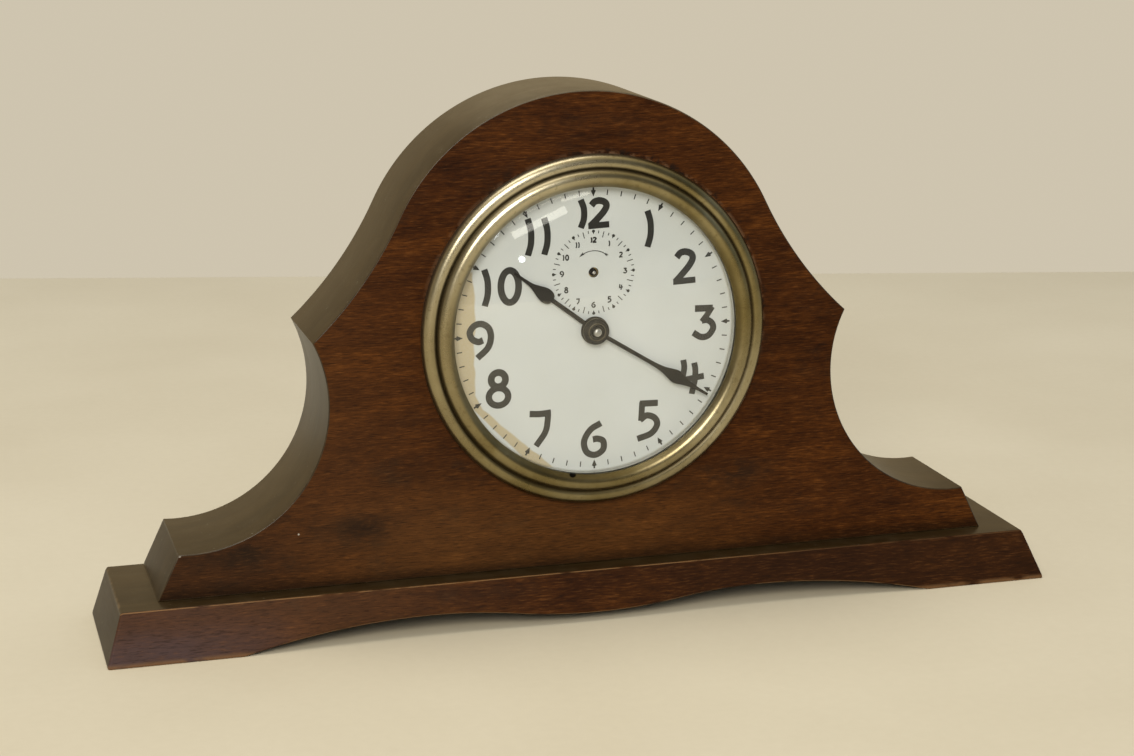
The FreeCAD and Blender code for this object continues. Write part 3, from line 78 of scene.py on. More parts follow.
# case
CASE_HALF = 151.8
FOOT_TOP_HALF = 144.1
FOOT_TOP = 32.9
COVE_RADIUS = 48.9
CUSP_HALF = 96.2
CUSP_HEIGHT = 103.0
ARCH_RADIUS = 73.0
ARCH_HEIGHT = 111.8
ARCH_END = math.radians(26.0)
CASE_EDGE = 0.4
CASE_EDGE_STEPS = 5
CASE_WEAR = 0.25
COVE_STEPS = 48
FLANK_STEPS = 30
ARCH_STEPS = 56
BORE_RADIUS = 54.75
BORE_STEPS = 160

# bezel and glass, depths counted back from the case's front
OPENING = 50.8
LIP_RISE = 3.9
LIP_SLOPE = 1.1
LIP_THICKNESS = 0.6
LIP_ROUNDING = ((0.0, 0.15), (0.05, 0.05), (0.15, -0.12))
BEAD_RADIUS = 3.1
GROOVE_RADIUS = 57.0
GROOVE_RISE = 3.2
BEAD_STEPS = 22
BEZEL_RADIUS = 61.8
BEZEL_STEPS = 288
SKIRT_RADIUS = 54.7
SKIRT_INSIDE = 54.1
SKIRT_DEPTH = 6.0
GLASS_PLAY = 0.05
GLASS_RADIUS = 52.5
GLASS_MIDDLE = 0.6
GLASS_RINGS = 34
GLASS_STEPS = 160
GLASS_EDGE = 50.75
GLASS_FRONT = -3.3
GLASS_BACK = -2.0
GLASS_SAG = 6.5
DIAL_FACE = 0.9

# printing on the dial
INK_HEIGHT = 0.05
INK_STEP = 0.004

# back of the movement, depths counted back from the case's front
ALARM_UP = 20.3
FLANGE_RADIUS = 59.0
FLANGE_REAR = 46.2
COVER_REAR = 44.0
KNOB_FRONT = 46.9
KNOB_REAR = 52.9
KNOB_BORE = 1.7
KNOB_GROOVE = 0.7
KNOB_STEPS_PER_RIB = 8
KNOB_RIB_DEPTH = 0.26


def grid_faces(rows, columns, closed_rows=False, closed_columns=False):
    """Corners of each cell of a rows by columns grid; a closed direction joins its last line to its first."""
    row = np.arange(rows if closed_rows else rows - 1)
    column = np.arange(columns if closed_columns else columns - 1)
    a, b = np.meshgrid(row, column, indexing="ij")
    below = (a + 1) % rows
    beside = (b + 1) % columns
    corners = [a * columns + b, below * columns + b, below * columns + beside, a * columns + beside]
    return np.stack(corners, axis=-1).reshape(-1, 4)


class Shape:
    """Surfaces gathered for one piece and welded where they meet.

    Each surface has points, arrays of faces, grain coordinates that a finish may follow, a number for its
    finish, and how far each point lies on a worn edge.
    """

    def __init__(self):
        self.points = []
        self.faces = []
        self.grain = []
        self.edge = []
        self.finish = []
        self.count = 0

    def add(self, points, *faces, grain=None, edge=0.0, finish=0):
        """Adds a surface; edge may be given for each point, and finish for each face."""
        points = np.asarray(points, float).reshape(-1, 3)
        total = len(points)
        if grain is None:
            grain = np.zeros((total, 2))
        self.points.append(points)
        self.grain.append(np.asarray(grain, float).reshape(-1, 2))
        self.edge.append(np.broadcast_to(edge, (total,)))
        for block in faces:
            block = np.atleast_2d(np.asarray(block, int))
            self.faces.append(block + self.count)
            self.finish.append(np.broadcast_to(finish, (len(block),)))
        self.count += total

    def turn(self, profile, steps, up=0.0, closed=True, finish=0):
        """Adds a profile turned about the dial's centre, or about an axis that lies above it."""
        points, faces = turned(profile, DIAL_X, DIAL_Z + up, steps, closed)
        self.add(points, *faces, finish=finish)

    def piece(self, name, body, slot, finishes, *nodes, crease=40.0):
        """Makes the mesh, welds points that lie together, turns faces outwards and hands it to the frame."""
        points = np.concatenate(self.points)
        grain = np.concatenate(self.grain) * MM
        edge = np.concatenate(self.edge)
        _, kept, weld = np.unique(np.round(points, 4), axis=0, return_index=True, return_inverse=True)
        weld = weld.ravel()
        mesh = bpy.data.meshes.new(name)
        corners = [face for block in self.faces for face in weld[block].tolist()]
        mesh.from_pydata((points[kept] * MM).tolist(), [], corners)
        layer = mesh.uv_layers.new(name="grain")
        layer.data.foreach_set("uv", np.concatenate([grain[b].ravel() for b in self.faces]))
        worn = mesh.attributes.new("edge", "FLOAT", "POINT")
        worn.data.foreach_set("value", edge[kept])
        mesh.polygons.foreach_set("material_index", np.concatenate(self.finish).astype(np.int32))
        for finish in finishes:
            mesh.materials.append(finish.material)
        work = bmesh.new()
        work.from_mesh(mesh)
        bmesh.ops.recalc_face_normals(work, faces=work.faces)
        work.to_mesh(mesh)
        work.free()
        mesh.shade_smooth()
        mesh.set_sharp_from_angle(angle=math.radians(crease))
        made = bpy.data.objects.new(name, mesh)
        bpy.context.scene.collection.objects.link(made)
        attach(made, body)
        if nodes:
            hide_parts(*nodes)
        return made


class Wire:
    """A socket in a finish's node tree; arithmetic on it adds Math nodes there."""

    def __init__(self, finish, socket):
        self.finish = finish
        self.socket = socket

    def math(self, operation, first, second):
        """Adds one Math node."""
        return self.finish.node("Math", {"operation": operation}, {0: first, 1: second})

    def __add__(self, other):
        return self.math("ADD", self, other)

    def __radd__(self, other):
        return self.math("ADD", other, self)

    def __sub__(self, other):
        return self.math("SUBTRACT", self, other)

    def __rsub__(self, other):
        return self.math("SUBTRACT", other, self)

    def __mul__(self, other):
        return self.math("MULTIPLY", self, other)

    def __rmul__(self, other):
        return self.math("MULTIPLY", other, self)

    def __pow__(self, other):
        return self.math("POWER", self, other)

    def __rpow__(self, other):
        return self.math("POWER", other, self)

    def __abs__(self):
        return self.finish.node("Math", {"operation": "ABSOLUTE"}, {0: self})

    def or_more(self, other):
        """The greater of the two."""
        return self.math("MAXIMUM", self, other)


class Finish:
    """A material's or the world's node tree, with the few patterns that the finishes share."""

    def __init__(self, name, world=False):
        self.material = bpy.data.worlds.new(name) if world else bpy.data.materials.new(name)
        self.material.use_nodes = True
        self.tree = self.material.node_tree
        self.tree.nodes.clear()
        self.kind = "World" if world else "Material"

    def node(self, kind, settings=None, sockets=None, output=None):
        """Adds a node: its settings, a ramp's stops among them, then a value or a wire for each socket."""
        made = self.tree.nodes.new("ShaderNode" + kind)
        for key, value in (settings or {}).items():
            if key == "stops":
                ramp = made.color_ramp.elements
                while len(ramp) < len(value):
                    ramp.new(1.0)
                for stop, (position, colour) in zip(ramp, value):
                    stop.position = position
                    stop.color = (*colour, 1.0)
            else:
                setattr(made, key, value)
        shown = [s for s in made.inputs if s.enabled]
        for key, value in (sockets or {}).items():
            socket = shown[key] if isinstance(key, int) else next(s for s in shown if s.name == key)
            if isinstance(value, Wire):
                self.tree.links.new(value.socket, socket)
            elif isinstance(value, tuple) and socket.type == "RGBA":
                socket.default_value = (*value, 1.0)
            else:
                socket.default_value = value
        given = [s for s in made.outputs if s.enabled and output in (None, s.name)]
        return Wire(self, given[0]) if given else None

    def place(self):
        """Object coordinates, in metres."""
        return self.node("TexCoord", output="Object")

    def grain(self):
        """Coordinates that follow the surface, in metres."""
        return self.node("UVMap", {"uv_map": "grain"})

    def worn(self):
        """How far a point lies on a worn edge, from 0 to 1."""
        return self.node("Attribute", {"attribute_name": "edge"}, output="Fac")

    def stretch(self, where, scale):
        """Coordinates scaled by a factor for each axis."""
        return self.node("VectorMath", {"operation": "MULTIPLY"}, {0: where, 1: scale}, "Vector")

    def shift(self, where, step):
        """Coordinates moved by a step."""
        return self.node("VectorMath", {"operation": "ADD"}, {0: where, 1: step}, "Vector")

    def parts(self, where):
        """The x, y and z of coordinates, each as a wire."""
        split = self.node("SeparateXYZ", None, {"Vector": where}, "X").socket.node
        return [Wire(self, split.outputs[axis]) for axis in "XYZ"]

    def noise(self, where, scale=1.0, detail=3.0, rough=0.55, bend=0.0):
        """Soft noise about 0.5."""
        return self.node("TexNoise", None, {"Vector": where, "Scale": scale, "Detail": detail,
                                            "Roughness": rough, "Distortion": bend}, "Fac")

    def rise(self, value, low, high):
        """0 below low, 1 above high, smooth between."""
        return self.node("MapRange", {"interpolation_type": "SMOOTHSTEP"},
                         {"Value": value, "From Min": low, "From Max": high}, "Result")

    def ramp(self, value, *stops):
        """A colour for a value, between stops given as (value, colour)."""
        return self.node("ValToRGB", {"stops": stops}, {"Fac": value}, "Color")

    def mix(self, share, first, second):
        """The first colour, with a share of the second."""
        return self.node("Mix", {"data_type": "RGBA"}, {"Factor": share, "A": first, "B": second})

    def bump(self, height, distance, strength=1.0):
        """A normal bent as if the surface stood out by the height."""
        return self.node("Bump", None, {"Height": height, "Distance": distance, "Strength": strength})

    def away(self, x, z, narrow=1.0):
        """Distance on the front from a point given in mm, as metres, and the way there from that point."""
        way = self.shift(self.place(), (-x * MM, 0.0, -z * MM))
        flat = self.stretch(way, (narrow, 0.0, 1.0))
        return self.node("VectorMath", {"operation": "LENGTH"}, {0: flat}, "Value"), way

    def from_dial(self):
        """Distance from the dial's centre in metres, with the steps across and up."""
        radius, way = self.away(DIAL_X, DIAL_Z)
        across, _, up = self.parts(way)
        return radius, across, up

    def rings(self, radius, spacing, drift, detail):
        """Noise that changes only with the radius, and a little with the drift: turning lines."""
        where = self.node("CombineXYZ", None, {"X": radius * spacing, "Y": drift, "Z": 0.0})
        return self.noise(where, 1.0, detail)

    def spot(self, x, z, inner, outer, narrow=1.0):
        """A round mark on the front, in mm: 1 within the inner distance of its centre, 0 past the outer."""
        radius, _ = self.away(x, z, narrow)
        return 1.0 - self.rise(radius, inner * MM, outer * MM)

    def close(self, shader):
        """Leads a shader to the output."""
        self.node("Output" + self.kind, None, {"Surface": shader})
        return self

    def coat(self, **sockets):
        """Ends the finish in a Principled shader; an underscore in a socket's name stands for a space."""
        spaced = {name.replace("_", " "): value for name, value in sockets.items()}
        return self.close(self.node("BsdfPrincipled", None, spaced))


# mahogany at shares of its figure, before a piece's own depth of colour
MAHOGANY_TONES = (
    (0.37, (0.0170, 0.0049, 0.0013)),
    (0.46, (0.0390, 0.0113, 0.0022)),
    (0.54, (0.0640, 0.0194, 0.0033)),
    (0.63, (0.1250, 0.0390, 0.0058)),
)
BLACKENED = (0.0150, 0.0082, 0.0045)
PALE_FIBRE = (0.170, 0.072, 0.022)
DARK_FIBRE = (0.012, 0.006, 0.003)
PORE_FILL = (0.012, 0.005, 0.002)
BARE_EDGE = (0.265, 0.145, 0.058)
SCUFFED_FOOT = (0.190, 0.098, 0.040)
SMUDGE_DIRT = (0.016, 0.009, 0.005)
CHIPPED = (0.420, 0.375, 0.300)

# marks on the case's front: place across and up, and size
SMUDGES = (
    (-124.0, 33.0, 9.0), (-106.0, 41.0, 8.0), (-80.0, 37.0, 9.0), (-48.0, 54.0, 9.0), (52.0, 46.0, 10.0),
)
CHIPS = ((-143.7, 32.5, 0.6), (-103.0, 36.6, 0.45))


def base_wear(f, colour, where):
    """The base has painted shade to the right and a painted sheen to the left, with a bluish painted
    reflection low on its left end.
    """
    x, _, z = f.parts(where)
    # painted shade: the base's front darker towards the right
    shade = f.rise(x, -0.04, 0.07) * 0.55
    colour = f.mix(shade, colour, (0.016, 0.007, 0.003))
    # painted sheen: the base's front lighter towards the left
    painted_sheen = f.rise(x * -1.0, 0.00, 0.11)
    colour = f.mix(painted_sheen * 0.34, colour, (0.125, 0.058, 0.024))
    # painted reflection: a bluish sheen low on the base's left end
    low = 1.0 - f.rise(z, 0.002, 0.015)
    cloud = f.rise(f.noise(f.stretch(where, (34.0, 34.0, 90.0)), detail=4.0), 0.30, 0.75)
    painted_blue_sheen = f.rise(x * -1.0, 0.085, 0.165) * (low * 0.55 + 0.30) * (cloud * 0.5 + 0.5)
    return f.mix(painted_blue_sheen, colour, (0.068, 0.047, 0.050))


def case_wear(f, colour, where, figure, blotch):
    """The case has a painted sheen towards the lower left, is paler low in the middle, and grimy by its left
    foot.
    """
    x, _, z = f.parts(where)
    # painted sheen: the case's front lighter towards the lower left
    painted_sheen = f.rise(x * -1.0 - z * 0.6, -0.03, 0.07)
    colour = f.mix(painted_sheen * 0.20, colour, (0.120, 0.055, 0.021))
    pale = (1.0 - f.rise(z, 0.030, 0.062)) * (1.0 - f.rise(abs(x + 0.015), 0.02, 0.11))
    colour = f.mix(pale * (0.12 + figure * 0.24), colour, (0.160, 0.070, 0.018))
    grimy = f.rise(x * -1.0, 0.095, 0.130) * (1.0 - f.rise(z, 0.026, 0.046))
    colour = f.mix(grimy * (0.10 + blotch * 0.55), colour, (0.018, 0.012, 0.008))
    ragged = f.rise(blotch + figure * 0.5, 0.62, 0.88) * 0.85
    for smudge_x, smudge_z, size in SMUDGES:
        colour = f.mix(f.spot(smudge_x, smudge_z, 0.0, size, 0.42) * ragged, colour, SMUDGE_DIRT)
    # painted shade and dirt: the front darker along its bottom, at the joint with the base
    foot = 1.0 - f.rise(z, 0.0172, 0.0225)
    colour = f.mix(foot * 0.6, colour, (0.010, 0.006, 0.003))
    return rubbed_round_bezel(f, colour)


def front_veneer(name, depth, on_base):
    """Dark mahogany with grain along x: fine short fibres, pores, soft figure and blackish mottling."""
    f = Finish(name)
    where = f.place()
    x, y, z = f.parts(where)
    drift = f.noise(f.stretch(where, (9.0, 9.0, 20.0)), detail=2.0)
    bent = f.node("CombineXYZ", None, {"X": x, "Y": y, "Z": z + drift * 0.004})
    fibre = f.noise(f.stretch(bent, (200.0, 200.0, 1900.0)), detail=4.0, rough=0.7)
    band = f.noise(f.stretch(bent, (28.0, 28.0, 520.0)), detail=4.0, rough=0.6)
    figure = f.noise(f.stretch(bent, (60.0, 60.0, 170.0)), detail=4.0, rough=0.6)
    broad = f.noise(f.stretch(where, (9.0, 9.0, 17.0)), detail=3.0)
    blotch = f.noise(f.stretch(where, (60.0, 60.0, 110.0)), detail=5.0, rough=0.65)
    pore = f.rise(f.noise(f.stretch(bent, (260.0, 260.0, 4200.0)), detail=1.0), 0.58, 0.72)
    tone = figure * 0.27 + broad * 0.20 + band * 0.17 + fibre * 0.36
    tones = [(share, tuple(c * depth for c in brown)) for share, brown in MAHOGANY_TONES]
    colour = f.ramp(tone, *tones)
    dark = f.rise(blotch, 0.50, 0.70) * f.rise(broad, 0.64, 0.42) * 0.62
    colour = f.mix(dark, colour, BLACKENED)
    if on_base:
        colour = base_wear(f, colour, where)
    else:
        colour = case_wear(f, colour, where, figure, blotch)
    colour = f.mix(f.rise(fibre, 0.53, 0.72) * 0.22, colour, PALE_FIBRE)
    colour = f.mix(f.rise(fibre, 0.47, 0.30) * 0.40, colour, DARK_FIBRE)
    colour = f.mix(pore * 0.50, colour, PORE_FILL)
    broken = f.rise(f.noise(f.stretch(where, (75.0, 75.0, 200.0)), detail=3.0), 0.34, 0.50)
    kept = f.rise(x, 0.02, 0.10) * f.rise(z, 0.010, 0.014) * 0.75
    line = f.rise(f.worn(), 0.78, 0.98) * (1.0 - kept)
    if on_base:
        scuffed = (1.0 - f.rise(z, 0.0006, 0.0020)) * broken
        colour = f.mix(line * broken * 0.68, colour, BARE_EDGE)
        colour = f.mix(scuffed * 0.6, colour, SCUFFED_FOOT)
    else:
        for chip_x, chip_z, size in CHIPS:
            colour = f.mix(f.spot(chip_x, chip_z, size * 0.3, size), colour, CHIPPED)
        colour = f.mix(line * broken * 0.68, colour, BARE_EDGE)
    rough = 0.38 + fibre * 0.14 + blotch * 0.10
    height = fibre * 0.7 - pore * 0.8
    return f.coat(Base_Color=colour, Roughness=rough, Specular_IOR_Level=0.055,
                  Normal=f.bump(height, 0.00005, 0.5))


def rubbed_round_bezel(f, colour):
    """Polish rubbed off close round the bezel, tan and dark by turns, most of it at the upper right."""
    radius, across, up = f.from_dial()
    near = 1.0 - f.rise(radius, 0.0622, 0.0652)
    close = 1.0 - f.rise(radius, 0.0619, 0.0634)
    side = f.rise(up + across, 0.040, 0.062).or_more(f.rise(up - across, 0.070, 0.084) * 0.5)
    flake = f.noise(f.place(), 260.0, 4.0, 0.6)
    colour = f.mix(close * side * f.rise(flake, 0.46, 0.56) * 0.75, colour, (0.150, 0.082, 0.042))
    return f.mix(near * side * f.rise(flake, 0.48, 0.38) * 0.8, colour, (0.010, 0.007, 0.005))


def side_wood(name, dark, middle, light, sheen):
    """Satin wood of the bent sides, tops and back, with its grain along the surface's own run."""
    f = Finish(name)
    where = f.grain()
    fibre = f.noise(f.stretch(where, (70.0, 2200.0, 1.0)), detail=4.0, rough=0.6)
    band = f.noise(f.stretch(where, (14.0, 420.0, 1.0)), detail=4.0, rough=0.6)
    figure = f.noise(f.stretch(where, (12.0, 60.0, 1.0)), detail=4.0, rough=0.6, bend=0.3)
    dust = f.noise(f.place(), 160.0, 4.0)
    speck = f.rise(f.noise(f.place(), 700.0, 1.0), 0.745, 0.78)
    tone = figure * 0.45 + band * 0.30 + fibre * 0.25
    colour = f.ramp(tone, (0.34, dark), (0.50, middle), (0.66, light))
    colour = f.mix(f.rise(dust, 0.4, 0.75) * 0.12, colour, (0.105, 0.078, 0.042))
    x, _, z = f.parts(f.place())
    # dust and painted light from above: the wood paler at the top of the arch
    dust_and_top_light = f.rise(z, 0.168, 0.184) * (0.15 + dust * 0.30)
    colour = f.mix(dust_and_top_light, colour, (0.230, 0.190, 0.120))
    colour = f.mix(speck * 0.35, colour, (0.30, 0.26, 0.19))
    chip = f.rise(f.noise(f.place(), 230.0, 4.0), 0.47, 0.62)
    colour = f.mix(f.worn() * chip * 0.5, colour, (0.215, 0.135, 0.062))
    reach = abs(x)
    case_end = f.rise(reach, 0.1440, 0.1446) * f.rise(z, 0.0173, 0.0178)
    duller = f.rise(reach, 0.1650, 0.1656).or_more(case_end)
    rough = 0.25 + band * 0.10 + fibre * 0.10 + duller * 0.13
    return f.coat(Base_Color=colour, Roughness=rough, Specular_IOR_Level=sheen,
                  Normal=f.bump(fibre, 0.00004, 0.4))


def aged_nickel(name):
    """Nickel worn to olive brass, with pale painted highlights at upper left and lower right, dirt and
    turning lines.
    """
    f = Finish(name)
    radius, across, up = f.from_dial()
    where = f.place()
    patch = f.noise(where, 46.0, 4.0, 0.6)
    fine = f.noise(where, 520.0, 3.0, 0.6)
    turning = f.rings(radius, 5200.0, patch, 2.0)
    colour = f.ramp(patch, (0.30, (0.182, 0.141, 0.055)), (0.50, (0.255, 0.207, 0.094)),
                    (0.72, (0.370, 0.318, 0.178)))
    # painted highlights: pale bright patches at the bezel's upper left and lower right
    upper_left_highlight = f.rise(up * 0.8 - across * 0.6, 0.030, 0.062)
    lower_right_highlight = f.rise(across * 0.75 - up * 0.65, 0.038, 0.062) * 0.5
    painted_highlight = upper_left_highlight.or_more(lower_right_highlight)
    colour = f.mix(painted_highlight * (0.45 + patch * 0.6), colour, (0.710, 0.655, 0.490))
    # painted sheen: the bezel lighter on its left side
    colour = f.mix(f.rise(across * -1.0, 0.034, 0.060) * 0.45, colour, (0.420, 0.365, 0.240))
    # darker towards the bottom
    colour = f.mix(f.rise(up * -1.0, 0.036, 0.060) * 0.38, colour, (0.120, 0.093, 0.040))
    colour = f.mix(f.rise(fine, 0.56, 0.72) * 0.35, colour, (0.16, 0.115, 0.05))
    groove = 1.0 - f.rise(abs(radius - GROOVE_RADIUS * MM), 0.0003, 0.0012)
    edge = f.rise(radius, (BEZEL_RADIUS - 0.9) * MM, BEZEL_RADIUS * MM)
    lip = 1.0 - f.rise(radius, (OPENING + 0.5) * MM, (OPENING + 2.6) * MM)
    dirt = (groove * 0.90).or_more(edge * 0.48).or_more(lip * 0.42)
    colour = f.mix(dirt * (0.8 + patch * 0.25), colour, (0.045, 0.030, 0.011))
    spot = f.spot(DIAL_X - 9.4, DIAL_Z - 50.3, 0.6, 0.9, 0.6)
    colour = f.mix(spot, colour, (0.010, 0.008, 0.006))
    rough = 0.20 + patch * 0.10 + fine * 0.07 + dirt * 0.25
    return f.coat(Base_Color=colour, Metallic=1.0, Roughness=rough,
                  Normal=f.bump(turning + fine * 0.8, 0.00002, 0.35))


def clear_glass(name):
    """Clear glass: light goes straight through, and more is mirrored where the glass is seen aslant."""
    f = Finish(name)
    through = f.node("BsdfTransparent", None, {"Color": (0.99, 0.995, 0.99)})
    mirror = f.node("BsdfGlossy", None, {"Color": (1.0, 1.0, 1.0), "Roughness": 0.02})
    aslant = f.node("LayerWeight", None, {"Blend": 0.5}, "Facing")
    smear = f.noise(f.place(), 60.0, 3.0)
    share = (0.047 + aslant ** 5.0 * 0.9) * (0.85 + smear * 0.2)
    return f.close(f.node("MixShader", None, {0: share, 1: through, 2: mirror}))


def dial_paper(name):
    """Aged white paper: slight mottling, and a tan tide mark down the left with nearly straight edges."""
    f = Finish(name)
    radius, across, up = f.from_dial()
    where = f.place()
    cloud = f.noise(where, 34.0, 4.0)
    fibre = f.noise(where, 1500.0, 3.0)
    wave = (f.noise(where, 70.0, 2.0) - 0.5) * 0.004
    colour = f.ramp(cloud, (0.3, (0.612, 0.630, 0.612)), (0.7, (0.664, 0.684, 0.674)))
    left = f.rise(wave - across, 0.0422, 0.0430)
    low = f.rise(wave - across * 0.67 - up * 0.74, 0.0452, 0.0460)
    corner = f.rise(wave - across * 0.883 - up * 0.469, 0.0468, 0.0476)
    clean = f.rise(radius, 0.0489, 0.0493) * f.rise(across * -0.72 - up * 0.69, 0.0486, 0.0492)
    reach = (1.0 - f.rise(up, 0.0222, 0.0234)) * (1.0 - f.rise(across, -0.0165, -0.0145))
    stain = left.or_more(low).or_more(corner) * reach * (1.0 - clean)
    colour = f.mix(stain * (0.74 + fibre * 0.3), colour, (0.525, 0.428, 0.258))
    # painted shade: the paper darker at its rim, under the bezel's lip
    rim = f.rise(radius, 0.0500, 0.0512)
    colour = f.mix(rim * 0.5, colour, (0.33, 0.29, 0.20))
    colour = f.mix(f.rise(fibre, 0.62, 0.75) * 0.12, colour, (0.42, 0.40, 0.31))
    return f.coat(Base_Color=colour, Roughness=0.62 + fibre * 0.1, Specular_IOR_Level=0.3,
                  Normal=f.bump(fibre, 0.00002, 0.4))


def printed_ink(name):
    """Dark grey printer's ink, slightly uneven and a little thin over the paper's fibres."""
    f = Finish(name)
    thin = f.noise(f.place(), 900.0, 3.0)
    cloud = f.noise(f.place(), 60.0, 2.0)
    colour = f.ramp(thin * 0.6 + cloud * 0.4, (0.3, (0.014, 0.014, 0.012)), (0.7, (0.030, 0.030, 0.026)))
    return f.coat(Base_Color=colour, Roughness=0.55 + thin * 0.15, Specular_IOR_Level=0.3)


def black_lacquer(name):
    """Black hand lacquer with faint brown wear."""
    f = Finish(name)
    worn = f.noise(f.place(), 180.0, 4.0, 0.6)
    fine = f.noise(f.place(), 1400.0, 2.0)
    colour = f.ramp(worn, (0.35, (0.0015, 0.0015, 0.0014)), (0.60, (0.003, 0.0029, 0.0027)),
                    (0.78, (0.016, 0.012, 0.008)))
    return f.coat(Base_Color=colour, Roughness=0.26 + fine * 0.16, Specular_IOR_Level=0.05,
                  Normal=f.bump(fine, 0.00001, 0.3))


def worked_metal(name, dull, bright, stained, scale, rough, turned_about_dial=False):
    """Worked metal: brushing or turning lines, cloudy tone and small stains."""
    f = Finish(name)
    where = f.place()
    cloud = f.noise(where, 40.0 * scale, 4.0, 0.6)
    fine = f.noise(where, 480.0 * scale, 3.0, 0.6)
    if turned_about_dial:
        radius, _, _ = f.from_dial()
        lines = f.rings(radius, 4200.0, cloud * 2.0, 3.0)
    else:
        lines = f.noise(f.stretch(where, (160.0, 60.0, 3400.0)), 1.0, 3.0)
    colour = f.mix(f.rise(cloud * 0.6 + lines * 0.4, 0.3, 0.7), dull, bright)
    spots = f.rise(fine, 0.60, 0.74) * f.rise(cloud, 0.35, 0.65)
    colour = f.mix(spots * 0.7, colour, stained)
    uneven = rough + cloud * 0.12 + lines * 0.10 + spots * 0.2
    return f.coat(Base_Color=colour, Metallic=1.0, Roughness=uneven,
                  Normal=f.bump(lines * 0.7 + fine * 0.3, 0.00002, 0.4))


VENEER = front_veneer("mahogany_front", depth=0.92, on_base=False)
BASE_VENEER = front_veneer("mahogany_base_front", depth=0.74, on_base=True)
SIDES = side_wood("mahogany_sides", dark=(0.014, 0.0076, 0.0019), middle=(0.026, 0.0146, 0.0038),
                  light=(0.046, 0.0275, 0.0085), sheen=0.33)
BACK_WOOD = side_wood("mahogany_back", dark=(0.022, 0.011, 0.005), middle=(0.044, 0.021, 0.009),
                      light=(0.075, 0.037, 0.015), sheen=0.25)
NICKEL = aged_nickel("aged_nickel")
GLASS = clear_glass("clear_glass")
PAPER = dial_paper("dial_paper_white")
INK = printed_ink("dial_ink")
LACQUER = black_lacquer("hand_lacquer")
PLATED = worked_metal("plated_steel_turned", (0.43, 0.42, 0.38), (0.62, 0.61, 0.57), (0.20, 0.13, 0.07),
                      scale=1.0, rough=0.24, turned_about_dial=True)
COVER_PLATED = worked_metal("plated_steel_cover", (0.37, 0.335, 0.26), (0.55, 0.51, 0.42),
                            (0.15, 0.09, 0.045), scale=0.8, rough=0.28, turned_about_dial=True)
KNOB_PLATED = worked_metal("plated_steel_brushed", (0.45, 0.43, 0.38), (0.64, 0.62, 0.56), (0.22, 0.15, 0.08),
                           scale=2.2, rough=0.22)
SPRING = worked_metal("blued_spring_steel", (0.09, 0.11, 0.16), (0.20, 0.23, 0.30), (0.10, 0.07, 0.05),
                      scale=1.6, rough=0.28)
STEEL = worked_metal("bright_steel", (0.42, 0.42, 0.42), (0.60, 0.60, 0.59), (0.22, 0.16, 0.11),
                     scale=2.0, rough=0.24)
DULL_BRASS = worked_metal("rubbed_brass", (0.075, 0.064, 0.043), (0.165, 0.142, 0.096), (0.030, 0.026, 0.020),
                          scale=2.0, rough=0.36)
BRASS = worked_metal("clock_brass", (0.50, 0.36, 0.13), (0.72, 0.55, 0.24), (0.24, 0.15, 0.06),
                     scale=1.4, rough=0.25)


def arc(first, last, radius, steps):
    """The short arc from first towards last that bulges left of its run, without its last point."""
    first, last = np.asarray(first, float), np.asarray(last, float)
    run = last - first
    half = np.hypot(*run) / 2
    left = np.array([-run[1], run[0]]) / (2 * half)
    centre = (first + last) / 2 - left * math.sqrt(radius * radius - half * half)
    start = math.atan2(*(first - centre)[::-1])
    end = math.atan2(*(last - centre)[::-1])
    turn = (end - start + math.pi) % (2 * math.pi) - math.pi
    angle = start + turn * np.arange(steps) / steps
    return centre + radius * np.stack([np.cos(angle), np.sin(angle)], axis=-1)


def case_outline():
    """Half of the case's front: foot, cove, cusp, flank and arch; the other half is its mirror image."""
    shoulder = np.array([ARCH_RADIUS * math.cos(ARCH_END), ARCH_HEIGHT + ARCH_RADIUS * math.sin(ARCH_END)])
    cusp = np.array([CUSP_HALF, CUSP_HEIGHT])
    run, rise = shoulder - cusp
    flank = (run * run + rise * rise) / (-2 * (run * math.cos(ARCH_END) + rise * math.sin(ARCH_END)))
    sweep = np.linspace(ARCH_END, math.pi / 2, ARCH_STEPS)
    arch = np.stack([ARCH_RADIUS * np.cos(sweep), ARCH_HEIGHT + ARCH_RADIUS * np.sin(sweep)], axis=-1)
    half = np.concatenate([
        np.array([[CASE_HALF, BASE_HEIGHT]]),
        arc((FOOT_TOP_HALF, FOOT_TOP), cusp, COVE_RADIUS, COVE_STEPS),
        arc(cusp, shoulder, flank, FLANK_STEPS),
        arch,
    ])
    mirrored = half[-2::-1] * np.array([-1.0, 1.0])
    return np.concatenate([half, mirrored])


def inward(loop):
    """For a loop run anticlockwise, the step per millimetre that moves each side in by a millimetre."""
    side = np.roll(loop, -1, axis=0) - loop
    side /= np.linalg.norm(side, axis=1, keepdims=True)
    normal = np.stack([-side[:, 1], side[:, 0]], axis=-1)
    before = np.roll(normal, 1, axis=0)
    return (before + normal) / (1 + np.sum(before * normal, axis=1, keepdims=True))


def ring(radius, steps, centre=(0.0, 0.0)):
    """A circle's points, anticlockwise."""
    angle = np.linspace(0, 2 * math.pi, steps, endpoint=False)
    return np.asarray(centre) + radius * np.stack([np.cos(angle), np.sin(angle)], axis=-1)


def upright(flat, depth):
    """Flat points (across, up) stood upright at a depth."""
    flat = np.asarray(flat, float)
    return np.stack([flat[..., 0], np.broadcast_to(depth, flat.shape[:-1]), flat[..., 1]], axis=-1)


def pierced(outer, *holes):
    """Triangles of a flat region with holes, as numbers into the loops laid end to end."""
    loops = [[Vector((*p, 0.0)) for p in loop] for loop in (outer, *holes)]
    return np.array(tessellate_polygon(loops), int)


